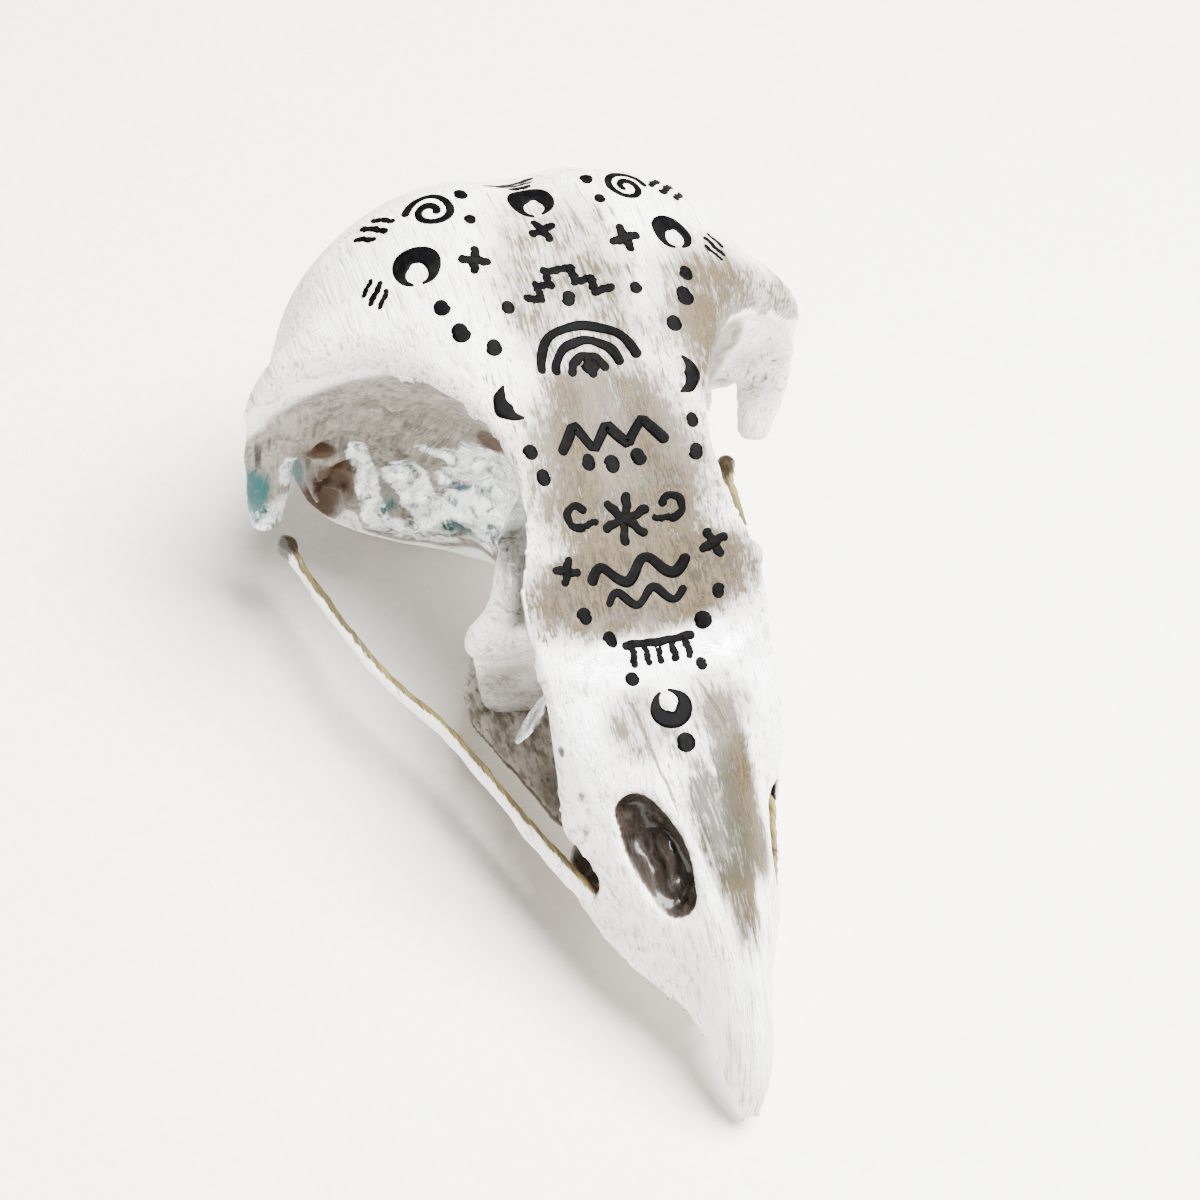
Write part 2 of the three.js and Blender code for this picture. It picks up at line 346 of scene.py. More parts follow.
def plug(tree: NodeTree, made: Node, sockets: dict) -> None:
    """Sets or links a node's sockets, by their names or numbers."""
    for key, value in sockets.items():
        if isinstance(value, Sum):
            tree.links.new(value.socket, made.inputs[key])
        else:
            made.inputs[key].default_value = value


def node(tree: NodeTree, kind: str, settings: dict, sockets: dict, out: int | str = 0) -> Sum:
    """Adds one node.

    Args:
        tree: The tree it goes in.
        kind: The node's type.
        settings: Its settings, set before its sockets.
        sockets: Values or links, by the socket's name or number.
        out: The output that is wanted.

    Returns:
        That output.
    """
    made = tree.nodes.new(kind)
    for key, value in settings.items():
        setattr(made, key, value)
    plug(tree, made, sockets)
    return Sum(tree, made.outputs[out])


def blend(tree: NodeTree, share: Sum | float, low: Sum | Colour, high: Sum | Colour) -> Sum:
    """Mixes two colours."""
    ends = [v if isinstance(v, Sum) else (*v, 1) for v in (low, high)]
    settings = {"data_type": "RGBA", "blend_type": "MIX"}
    return node(tree, "ShaderNodeMix", settings, {0: share, 6: ends[0], 7: ends[1]}, 2)


def place_of(tree: NodeTree) -> Sum:
    """Gives the place on the object."""
    return node(tree, "ShaderNodeTexCoord", {}, {}, "Object")


def noise(tree: NodeTree, at: Sum, scale: Sequence[float], detail: float, rough: float,
          warp: float = 0.25) -> Sum:
    """Adds noise.

    Args:
        tree: The tree it goes in.
        at: Where it is read.
        scale: How dense it is along each axis.
        detail: How many finer layers it has.
        rough: How strong the finer layers are.
        warp: How much it is bent.

    Returns:
        Its value, around a half.
    """
    spread = node(tree, "ShaderNodeVectorMath", {"operation": "MULTIPLY"}, {0: at, 1: scale})
    sockets = {"Vector": spread, "Scale": 1.0, "Detail": detail, "Roughness": rough, "Distortion": warp}
    return node(tree, "ShaderNodeTexNoise", {"noise_dimensions": "3D"}, sockets)


def bump(tree: NodeTree, strength: float, distance: float, height: Sum) -> Sum:
    """Turns a height into bumps, with a distance in metres."""
    return node(tree, "ShaderNodeBump", {}, {"Strength": strength, "Distance": distance, "Height": height})


class Finish:
    """A finish that makes its own material."""

    name = "finish"
    made: ClassVar[dict[str, Material]] = {}

    def material(self) -> Material:
        """Makes the material once and gives it again after that."""
        if self.name in Finish.made:
            return Finish.made[self.name]
        made = bpy.data.materials.new(self.name)
        made.use_nodes = True
        Finish.made[self.name] = made
        tree = made.node_tree
        tree.nodes.clear()
        shader = tree.nodes.new("ShaderNodeBsdfPrincipled")
        end = tree.nodes.new("ShaderNodeOutputMaterial")
        tree.links.new(shader.outputs[0], end.inputs[0])
        self.dress(tree, shader)
        return made

    def dress(self, tree: NodeTree, shader: Node) -> None:
        """Sets the shader's sockets. Each finish does it in its own way."""
        raise NotImplementedError


@dataclass(frozen=True)
class PaintedBone(Finish):
    """Pearl paint brushed over bone, with stains, silver and teal where the mesh says they go.

    The mesh carries three sets of tones, each from 0 to 1: beige, brown and dark in the first, silver,
    teal and grey-green in the second, and thick white, cracks and satin grey in the third. Brown and dark
    also carry painted shade in the nostrils, holes and deepest hollows, the pearl's dark streaks are partly
    painted shade in the stroke valleys, and the silver's bright and dark crumples are painted reflections.
    """

    name: str = "painted_bone"
    # the pearl paint's dark and light ends; the dark end colours the stroke valleys and is partly painted
    # shade
    pearl: tuple[Colour, Colour] = ((0.22, 0.20, 0.165), (0.94, 0.92, 0.885))
    beige: tuple[Colour, Colour] = ((0.013, 0.009, 0.0038), (0.095, 0.069, 0.036))
    grey: tuple[Colour, Colour] = ((0.075, 0.065, 0.053), (0.33, 0.30, 0.26))
    # dark and bright ends of the silver's crumples, which are painted reflections over the metal's own sheen
    silver: tuple[Colour, Colour] = ((0.045, 0.085, 0.105), (0.94, 0.985, 1.0))
    white: Colour = (0.98, 0.975, 0.965)
    brown: Colour = (0.045, 0.021, 0.008)
    dark: Colour = (0.006, 0.005, 0.004)
    teal: Colour = (0.012, 0.07, 0.07)
    green: Colour = (0.028, 0.03, 0.019)
    broad_strokes: Triple = (2.2, 0.13, 1.1)
    fine_strokes: Triple = (6.5, 0.3, 3.2)
    blotches: Triple = (420, 420, 420)
    ragged_edges: Triple = (1300, 1300, 1300)
    specks: Triple = (3000, 3000, 3000)
    crumples: Triple = (560, 560, 560)

    def dress(self, tree: NodeTree, shader: Node) -> None:
        """Sets the sockets.

        Args:
            tree: The material's tree.
            shader: Its shader.
        """
        beige, brown, dark = self.tones(tree, "tone_a")
        silver, teal, green = self.tones(tree, "tone_b")
        white, crack, grey = self.tones(tree, "tone_c")
        flow = node(tree, "ShaderNodeAttribute", {"attribute_name": "flow"}, {}, "Vector")
        place = place_of(tree)
        fine = noise(tree, flow, self.fine_strokes, 3, 0.6)
        blotch = noise(tree, place, self.blotches, 4, 0.55)
        ragged = noise(tree, place, self.ragged_edges, 4, 0.6)
        specks = noise(tree, place, self.specks, 2, 0.5)
        streak = (noise(tree, flow, self.broad_strokes, 4, 0.6) - 0.5) * 1.1 + (fine - 0.5) * 1.5
        cloud = (blotch - 0.5) * 1.2 + (ragged - 0.5) * 0.5
        fold = noise(tree, place, self.crumples, 5, 0.66, 1.4) - 0.5
        edge = streak * 0.6 + cloud * 0.4
        stain = blend(tree, (0.5 + streak + cloud * 0.3).between(0.1, 0.9), *self.beige)
        satin = blend(tree, (0.5 + streak * 0.8 + fold * 0.9).between(0.05, 0.95), *self.grey)
        satin = blend(tree, cloud.between(0.05, 0.35) * 0.4, satin, self.beige[1])
        # the silver's bright and dark crumples: painted reflections, laid over the real metallic sheen
        foil_with_painted_glints = blend(tree, (0.62 + fold * 2.4 + streak * 0.5).between(0.1, 0.8), *self.silver)
        metal = (silver + cloud * 0.7 + fold * 1.3).between(0.3, 0.7)
        thick = (white + edge * 1.1).between(0.35, 0.95)
        line = crack.size().between(0.14, 0.05)
        # streaky pearl paint, darker where the brush strokes sink: partly painted shade in the stroke
        # valleys
        base = blend(tree, (0.62 + streak).between(0.05, 0.82), *self.pearl)
        layers = (
            ((beige + streak * 0.8 + cloud * 0.4).between(0.12, 0.82), stain),
            ((green + streak * 1.5 + cloud * 0.7).between(0.15, 1.0) * 0.9, self.green),
            (specks.between(0.66, 0.74) * 0.5, self.brown),
            ((grey + edge * 0.8).between(0.3, 0.7), satin),
            (metal, foil_with_painted_glints),
            ((teal * 0.9 + edge * 1.2 + fold).between(0.2, 0.75), self.teal),
            (thick, self.white),
            ((brown + edge * 0.8).between(0.3, 0.75) * 0.95, self.brown),
            ((dark + edge * 0.5).between(0.35, 0.75), self.dark),
            (line * 0.8, self.brown),
        )
        for share, colour in layers:
            base = blend(tree, share, base, colour)
        height = streak * 0.3 + blotch * 0.25 + ragged * 0.2 + thick * (ragged * 1.5 + 0.1)
        height = height + metal * fold * 2.5 - line * 0.6
        plug(tree, shader, {
            "Base Color": base,
            "Roughness": 0.45 + (blotch - 0.5) * 0.25 + (fine - 0.5) * 0.3 - metal * 0.15,
            "Metallic": metal * 0.6,
            "Normal": bump(tree, 0.5, 0.00022, height),
            "Coat Weight": 0.06 + thick * 0.2 + metal * 0.3 + dark * 0.5,
            "Coat Roughness": 0.16,
            "Specular IOR Level": 0.16,
        })

    @staticmethod
    def tones(tree: NodeTree, name: str) -> tuple[Sum, Sum, Sum]:
        """Reads three tones that the mesh carries under one name."""
        made = tree.nodes.new("ShaderNodeAttribute")
        made.attribute_name = name
        apart = tree.nodes.new("ShaderNodeSeparateXYZ")
        tree.links.new(made.outputs["Vector"], apart.inputs[0])
        return tuple(Sum(tree, socket) for socket in apart.outputs)


@dataclass(frozen=True)
class BlackInk(Finish):
    """Dried black ink, a little uneven."""

    name: str = "black_ink"
    thick: Colour = (0.0008, 0.0008, 0.001)
    thin: Colour = (0.004, 0.0036, 0.0032)
    mottling: Triple = (1500, 1500, 1500)

    def dress(self, tree: NodeTree, shader: Node) -> None:
        """Sets the sockets of the dried ink."""
        mottle = noise(tree, place_of(tree), self.mottling, 3, 0.6)
        plug(tree, shader, {
            "Base Color": blend(tree, mottle.between(0.45, 0.75), self.thick, self.thin),
            "Roughness": mottle * 0.3 + 0.45,
            "Normal": bump(tree, 0.2, 0.00004, mottle),
            "Specular IOR Level": 0.03,
        })


@dataclass(frozen=True)
class FloorCard(Finish):
    """A pale off-white card with a fine tooth."""

    name: str = "floor_card"
    shaded: Colour = (0.84, 0.806, 0.755)
    pale: Colour = (0.93, 0.902, 0.858)
    teeth: Triple = (1100, 1100, 1100)
    clouds: Triple = (60, 60, 60)

    def dress(self, tree: NodeTree, shader: Node) -> None:
        """Sets the sockets of the floor."""
        place = place_of(tree)
        tooth = noise(tree, place, self.teeth, 4, 0.65)
        share = tooth.between(0.3, 0.7) * 0.6 + noise(tree, place, self.clouds, 3, 0.5) * 0.4
        plug(tree, shader, {
            "Base Color": blend(tree, share, self.shaded, self.pale),
            "Roughness": 0.85,
            "Normal": bump(tree, 0.35, 0.0003, tooth),
            "Specular IOR Level": 0.2,
        })


# Forms


@dataclass(frozen=True)
class SkullBlock:
    """The skull's outer body before its hollows, by outlines along its length."""

    half_width: Outline = Outline((
        (-28.4, 0), (-28.1, 0.7), (-27.6, 1.15), (-26.5, 1.65), (-25, 2.1), (-22.6, 2.75), (-20.2, 4),
        (-18.4, 5), (-16.8, 5.9), (-15, 6.6), (-13, 7.2), (-11, 7.4), (-8.3, 7.7), (-5, 7.8), (-1, 8.2),
        (2, 7.4), (4.6, 6.8), (7.5, 7), (10.2, 7.9), (12.8, 9.6), (15.4, 11.8), (17.4, 15), (18.7, 18.6),
        (19.8, 20.1), (21, 19.6), (22.5, 18.5), (24, 17.6), (28, 15.9), (31.5, 13.4), (34.5, 10),
        (36.6, 6.4), (37.7, 3), (38, 0)))
    crest: Outline = Outline((
        (-28.4, 0), (-28.2, 2.6), (-27.5, 5.3), (-26.5, 7.3), (-25.2, 9), (-22.5, 11.7), (-19.4, 13.9),
        (-16.3, 15.7), (-12.4, 17.1), (-7.7, 18.8), (-5.1, 20), (-0.3, 23), (2.8, 25.2), (6.6, 27.6),
        (13.3, 31), (19, 33), (24, 33.6), (28, 32.2), (32, 28.2), (35, 22.6), (37.2, 17.6), (38, 13.5)))
    edge: Outline = Outline((
        (-28.4, 0), (-27.5, 2), (-26.5, 3.2), (-25, 4.2), (-22, 5.2), (-18.5, 5.7), (-14, 6.6),
        (-11.5, 8.4), (-9, 12.6), (-6.5, 16.6), (-3.5, 19.6), (-1, 22), (2, 24.8), (4.6, 26), (10, 27.8),
        (12.8, 28.2), (15.4, 27.6), (17.4, 26.2), (18.7, 23.8), (19.8, 21.6), (22, 19.2), (26, 17.4),
        (31, 15.4), (38, 13.5)))
    base: Outline = Outline((
        (-28.4, 0), (-27.5, 2.4), (-26, 4.3), (-22, 6.4), (-18, 7), (-12, 7.2), (-6, 6), (4, 5.4),
        (14, 4.2), (19, 4.8), (22, 3.8), (26, 1.3), (30, 1.8), (33, 4), (36, 8), (38, 13.5)))
    base_half: Outline = Outline((
        (-28.4, 0), (-26, 1.4), (-18, 3.6), (-10, 4), (4, 3), (15, 3.2), (18.5, 8), (21, 12.6),
        (27, 12.4), (33, 8), (38, 0)))
    top_power: Outline = Outline((
        (-28.4, 2), (-18, 1.9), (-15, 1.9), (-12, 2.3), (-10, 3.4), (-8, 4.6), (-2, 5.5), (8, 4),
        (14, 2.8), (18.7, 1.9), (20, 1.9), (22, 2.1), (24.5, 2.5), (30, 2.3), (38, 2.2)))
    side_power: Outline = Outline(((-28.4, 2), (-10, 2.4), (14, 2.6), (20, 4), (27, 3.4), (38, 2)))
    furrow: Outline = Outline(((-28.4, 0), (-10, 0), (-3, 0.7), (8, 1.2), (26, 1.3), (33, 0.7), (38, 0)))
    station: Outline = Outline((
        (0, -28.4), (0.04, -28), (0.14, -24.5), (0.33, -13), (0.5, 0), (0.62, 10), (0.72, 17), (0.8, 21),
        (0.9, 30), (0.96, 36), (1, 38)))
    furrow_half: float = 3.4
    around: int = 200
    along: int = 360

    def top(self, x: np.ndarray, y: np.ndarray) -> np.ndarray:
        """Gives the height of the skull's top.

        Args:
            x: Places across.
            y: Places along.

        Returns:
            The heights there.
        """
        reach = np.minimum(np.abs(x) / np.maximum(self.half_width(y), 0.01), 1)
        power = self.top_power(y)
        arch = (1 - reach**power) ** (1 / power)
        furrow = self.furrow(y) * np.exp(-((x / self.furrow_half) ** 2))
        return self.edge(y) + (self.crest(y) - self.edge(y) - furrow) * arch

    def build(self) -> Object:
        """Builds the block from rings across Y, from the beak's tip to the occiput."""

        def shape(t: np.ndarray, angle: np.ndarray) -> np.ndarray:
            y = self.station(t)
            c, s = np.cos(angle), np.sin(angle)
            depth = signed_power(np.maximum(-s, 0), 2 / self.side_power(y))
            wide = self.half_width(y)
            x_top = wide * signed_power(c, 2 / self.top_power(y))
            x_side = (wide + (self.base_half(y) - wide) * depth) * signed_power(c, 2 / self.side_power(y))
            z_side = self.edge(y) + (self.base(y) - self.edge(y)) * depth
            x = np.where(s >= 0, x_top, x_side)
            return np.column_stack([x, y, np.where(s >= 0, self.top(x_top, y), z_side)])

        return form("skull", self.around, self.along, shape)


@dataclass(frozen=True)
class Hollow:
    """A rounded hollow under the brow, with its own reach each way, given for the side +X."""

    centre: Triple
    inner: float
    outer: float
    front: float
    back: float
    top: float
    bottom: float
    round: float = 1.0
    brow: float = 0.7
    around: int = 120
    along: int = 90

    def build(self, block: SkullBlock, side: int) -> Object:
        """Builds the hollow as a cutter that stays the brow's thickness under the skull's top."""

        def shape(t: np.ndarray, angle: np.ndarray) -> np.ndarray:
            out = signed_power(np.cos(t * math.pi), self.round)
            ring = np.sin(t * math.pi) ** self.round
            back = ring * signed_power(np.cos(angle), self.round)
            up = ring * signed_power(np.sin(angle), self.round)
            offsets = np.column_stack([out, back, up])
            x, y, z = (offsets * self.halves(offsets) + self.centre).T
            half = block.half_width(y)
            roof = block.top(np.minimum(x, half), y) - self.brow
            slope = block.top(np.minimum(x + self.brow, half), y)
            return np.column_stack([x * side, y, np.minimum(z, np.minimum(roof, slope))])

        return form("hollow", self.around, self.along, shape)

    def halves(self, offsets: np.ndarray) -> np.ndarray:
        """Gives the hollow's reach along each axis, on the side of its centre where each offset lies."""
        before = (self.inner, self.front, self.bottom)
        return np.where(offsets < 0, before, (self.outer, self.back, self.top))

    def reach(self, spots: np.ndarray) -> np.ndarray:
        """Gives how far out spots lie, 1 on the hollow's wall and less inside it, for both sides."""
        x, y, z = spots.T
        offsets = np.column_stack([np.abs(x), y, z]) - self.centre
        power = 2 / self.round
        total = np.sum(np.abs(offsets / self.halves(offsets)) ** power, axis=1)
        return total ** (1 / power)


@dataclass(frozen=True)
class Egg:
    """A rounded lump or hollow with three half sizes and a turn in degrees, given for the side +X."""

    centre: Triple
    half: Triple
    turn: Triple = (0, 0, 0)

    def matrix(self, side: int) -> np.ndarray:
        """Gives the turn on one side of the skull."""
        a, b, c = (math.radians(v) for v in self.turn)
        return np.array(Euler((a, b * side, c * side)).to_matrix())

    def build(self, side: int = 1, around: int = 40, along: int = 28) -> Object:
        """Builds the egg on one side of the skull."""

        def shape(t: np.ndarray, angle: np.ndarray) -> np.ndarray:
            ring = np.sin(t * math.pi)
            ball = np.column_stack([ring * np.cos(angle), ring * np.sin(angle), np.cos(t * math.pi)])
            return (ball * self.half) @ self.matrix(side).T + np.array(self.centre) * (side, 1, 1)

        return form("egg", around, along, shape)

    def reach(self, spots: np.ndarray, side: int = 1) -> np.ndarray:
        """Gives how far out spots lie, 1 on the egg's surface and less inside it."""
        local = (spots - np.array(self.centre) * (side, 1, 1)) @ self.matrix(side)
        return np.linalg.norm(local / self.half, axis=1)


@dataclass(frozen=True)
class Bar:
    """A bar along a course, with half sizes that change along it and round ends, given for +X."""

    course: Course
    half: Outline
    thick: Outline
    across: Triple
    around: int = 40
    along: int = 90
    cap: int = 6

    def build(self, name: str, side: int) -> Object:
        """Builds the bar on one side of the skull."""

        def shape(t: np.ndarray, angle: np.ndarray) -> np.ndarray:
            ring = t * self.along
            u = np.clip((ring - self.cap) / (self.along - 2 * self.cap), 0, 1)
            turn = np.clip(np.minimum(ring, self.along - ring) / self.cap, 0, 1) * math.pi / 2
            size, end = np.sin(turn), np.cos(turn) * np.sign(t - 0.5)
            ahead, wide, over = self.axes(u, side)
            spots = self.course.at(u, side) + ahead * (end * self.thick(u) * 0.8)[:, None]
            spots += wide * (self.half(u) * size * np.cos(angle))[:, None]
            return spots + over * (self.thick(u) * size * np.sin(angle))[:, None]

        return form(name, self.around, self.along, shape)

    def axes(self, u: np.ndarray, side: int) -> tuple[np.ndarray, np.ndarray, np.ndarray]:
        """Gives the directions along, across and through the bar at u."""
        ahead = self.course.heading(u, side)
        wide = np.broadcast_to(np.array(self.across, float) * (side, 1, 1), ahead.shape)
        over = np.cross(ahead, wide)
        over /= np.linalg.norm(over, axis=1, keepdims=True)
        return ahead, np.cross(over, ahead), over

    def distance(self, spots: np.ndarray, side: int) -> np.ndarray:
        """Gives each spot's distance from the bar's course on one side."""
        line = self.course.at(np.linspace(0, 1, 50), side)
        return np.min([np.linalg.norm(spots - point, axis=1) for point in line], axis=0)


BLOCK = SkullBlock()
SOCKET = Hollow((14.5, 7.4, 13.5), 13.3, 20, 12.4, 12.4, 17, 34)
CHEEK = Hollow((12.5, -5.2, 8.5), 10.9, 14, 6.7, 4.6, 13, 20, 0.62)
NOSTRIL = Bar(
    Course(((4.3, -12.9, 15.4), (4.0, -14.2, 14.8), (3.6, -15.8, 14), (3.1, -17.7, 12.9))),
    Outline(((0, 1.45), (0.3, 1.8), (0.8, 1.8), (1, 1.4))),
    Outline(((0, 1.8), (0.4, 2.7), (1, 1.7))), (1, 0, -0.7))
FAR_NOSTRIL = Bar(
    Course(((6.3, -12.6, 12.2), (6.1, -13.8, 11.6), (5.8, -15.2, 10.8), (5.3, -16.9, 9.7))),
    NOSTRIL.half, NOSTRIL.thick, NOSTRIL.across)
NOSTRILS = {-1: NOSTRIL, 1: FAR_NOSTRIL}
NOSTRIL_SCROLL = Egg((2.4, -14.9, 12.5), (0.5, 2.1, 0.7), (24, 0, 0))
PROCESS = Bar(
    Course((
        (17.2, 20.6, 22.6), (18, 20.2, 19.5), (18.4, 19.9, 16.6), (18.6, 19.7, 13.6), (18.7, 19.5, 11.6))),
    Outline(((0, 2.6), (0.3, 2.3), (0.7, 1.7), (1, 1.2))), steady(0.75), (1, -0.3, 0))
JUGAL = Bar(
    Course(((5.2, -16.4, 7.9), (7.0, -11.9, 7.9), (8.4, -8.1, 8.0), (9.9, -3.2, 8.2), (11.5, 1.4, 8.3),
            (13.1, 4.6, 8.3), (14.3, 7.4, 8.3), (15.3, 10.8, 8.3), (16.5, 16.2, 8.1), (17.1, 19.6, 8))),
    Outline((
        (0, 0.8), (0.1, 1.1), (0.2, 1.05), (0.3, 0.75), (0.45, 0.6), (0.9, 0.52), (0.95, 0.75), (1, 1.0))),
    Outline(((0, 0.55), (0.3, 0.48), (1, 0.42))), (0.3, 0.3, 1), 28, 220)
PALATINE = Bar(
    Course(((3.6, -14, 7.4), (3.9, -10.5, 6.8), (4.6, -6.2, 6.4), (5.4, -0.8, 6.4), (6.1, 3.4, 6.5),
            (5.8, 8.4, 5.6))),
    Outline(((0, 0.8), (0.25, 0.9), (0.45, 1.8), (0.7, 2.7), (0.85, 2.7), (1, 1.2))),
    steady(0.45), (1, 0.3, 0), 36, 140)
KNEE = Bar(
    Course(((5.6, 7.6, 5.6), (3.4, 9, 5.2), (0.4, 9.8, 5.2))),
    steady(1.1), steady(0.45), (0.2, 1, 0), 28, 40)
FIN = Bar(
    Course(((7.0, -4.2, 17.6), (7.3, -3.6, 15.2), (7.7, -2.8, 12.6), (7.95, -2.5, 11.2))),
    Outline(((0, 1.3), (0.4, 1.7), (1, 0.4))), Outline(((0, 0.14), (1, 0.1))), (0.6, -1, 0.3), 20, 40)


@dataclass
class Survey:
    """What is known about each vertex of a mesh: its place, how hollow it lies and how shaded it is."""

    mesh: Mesh
    rays: int = 14
    lift: float = 0.08
    spots: np.ndarray = field(init=False)
    normals: np.ndarray = field(init=False)

    def __post_init__(self) -> None:
        """Reads the vertices, and how many edges meet at each."""
        self.refresh()
        ends = np.empty(len(self.mesh.edges) * 2, np.int32)
        self.mesh.edges.foreach_get("vertices", ends)
        self.ends = ends.reshape(-1, 2)
        self.links = np.maximum(np.bincount(ends, minlength=len(self.spots)), 1)

    def refresh(self) -> None:
        """Reads the vertices and normals again."""
        self.spots = vectors_of(self.mesh.vertices, "co")
        self.normals = vectors_of(self.mesh.vertex_normals, "vector")

    def push(self, amount: np.ndarray) -> None:
        """Moves the vertices along their normals, in millimetres."""
        move_spots(self.mesh, self.spots + self.normals * amount[:, None])
        self.refresh()

    def soften(self, values: np.ndarray, rounds: int) -> np.ndarray:
        """Spreads values over neighbouring vertices."""
        a, b = self.ends.T
        many = values.reshape(len(values), -1)
        for _ in range(rounds):
            sums = [np.bincount(a, row[b], len(row)) + np.bincount(b, row[a], len(row)) for row in many.T]
            many = np.stack(sums, axis=1) / self.links[:, None]
        return many.reshape(values.shape)

    def hollowness(self, rounds: int) -> np.ndarray:
        """Gives how far the smoothed surface lies above each vertex, positive in a hollow."""
        return np.einsum("ij,ij->i", self.soften(self.spots, rounds) - self.spots, self.normals)

    def shade(self, far: float) -> np.ndarray:
        """Gives the share of directions that meet the mesh within a distance, from 0 to 1."""
        tree = ray_tree(self.mesh)
        k = np.arange(self.rays) + 0.5
        height, turn = np.sqrt(1 - k / self.rays), k * GOLDEN_ANGLE
        flat = np.sqrt(1 - height**2)
        local = np.column_stack([flat * np.cos(turn), flat * np.sin(turn), height])
        hits = np.zeros(len(self.spots))
        for i, (spot, normal) in enumerate(zip(self.spots, self.normals)):
            facing = Vector(normal)
            turned = facing.to_track_quat("Z", "Y").to_matrix()
            start = Vector(spot) + facing * self.lift
            hits[i] = sum(tree.ray_cast(start, turned @ Vector(d), far)[0] is not None for d in local)
        return hits / self.rays


# The skull


class Tone(Enum):
    """The paints, stains and painted shade, each with the set that carries it and its place in the set."""

    BEIGE = ("tone_a", 0)
    BROWN = ("tone_a", 1)
    DARK = ("tone_a", 2)
    SILVER = ("tone_b", 0)
    TEAL = ("tone_b", 1)
    GREEN = ("tone_b", 2)
    WHITE = ("tone_c", 0)
    CRACK = ("tone_c", 1)
    GREY = ("tone_c", 2)


@dataclass(frozen=True)
class Patch:
    """A soft patch of one tone around a centre, or along a line to its end, on both sides or on one."""

    tone: Tone
    centre: Triple
    reach: Triple
    strength: float = 1.0
    sides: tuple[int, ...] = SIDES
    end: Triple | None = None

    def mask(self, spots: np.ndarray) -> np.ndarray:
        """Gives how strongly the patch covers each spot."""
        total = np.zeros(len(spots))
        for side in self.sides:
            away = (spots - np.array(self.centre) * (side, 1, 1)) / self.reach
            if self.end:
                line = (np.array(self.end) - self.centre) * (side, 1, 1) / self.reach
                away -= np.clip(away @ line / (line @ line), 0, 1)[:, None] * line
            total = np.maximum(total, fade(np.linalg.norm(away, axis=1), 1.5, 0.5))
        return total * self.strength


def patches(tone: Tone, *rows: tuple) -> tuple[Patch, ...]:
    """Makes patches of one tone, each row having what follows the tone in a patch."""
    return tuple(Patch(tone, *row) for row in rows)


@dataclass
class Coat:
    """The tones of one piece, gathered before they are kept on its mesh."""

    spots: np.ndarray
    tones: dict[Tone, np.ndarray] = field(default_factory=dict)

    def lay(self, tone: Tone, mask: np.ndarray) -> None:
        """Lays a tone where it is stronger than what lies there."""
        self.tones[tone] = np.maximum(self.tones.get(tone, np.zeros(len(self.spots))), mask)

    def wipe(self, tone: Tone, mask: np.ndarray) -> None:
        """Wipes a tone off."""
        self.tones[tone] = self.tones.get(tone, np.zeros(len(self.spots))) * (1 - mask)

    def lay_patches(self, laid: Iterable[Patch], within: np.ndarray) -> None:
        """Lays patches where a mask allows them."""
        for patch in laid:
            self.lay(patch.tone, patch.mask(self.spots) * within)

    def keep(self, mesh: Mesh, flow: np.ndarray) -> None:
        """Keeps the tones and the direction of the strokes on the mesh."""
        for name in ("tone_a", "tone_b", "tone_c"):
            columns = np.zeros((len(self.spots), 3))
            for tone, mask in self.tones.items():
                if tone.value[0] == name:
                    columns[:, tone.value[1]] = mask
            store(mesh, name, columns)
        store(mesh, "flow", flow)


@dataclass(frozen=True)
class Crack:
    """A fine crack along a course on the skull's top."""

    course: Course
    wander: float = 0.12

    def offset(self, spots: np.ndarray) -> np.ndarray:
        """Gives each spot's distance from the crack, with a sign for its side of it."""
        line = self.course.at(np.linspace(0, 1, 40))
        shift = grain(spots, 1.1, 31, 2) * self.wander
        across = spots[:, 0] + shift - np.interp(spots[:, 1], line[::-1, 1], line[::-1, 0])
        beyond = np.maximum(np.maximum(line[-1, 1] - spots[:, 1], spots[:, 1] - line[0, 1]), 0)
        deep = np.abs(spots[:, 2] - np.interp(spots[:, 1], line[::-1, 1], line[::-1, 2]))
        return across + np.where(across < 0, -1, 1) * (beyond + np.maximum(deep - 1, 0))


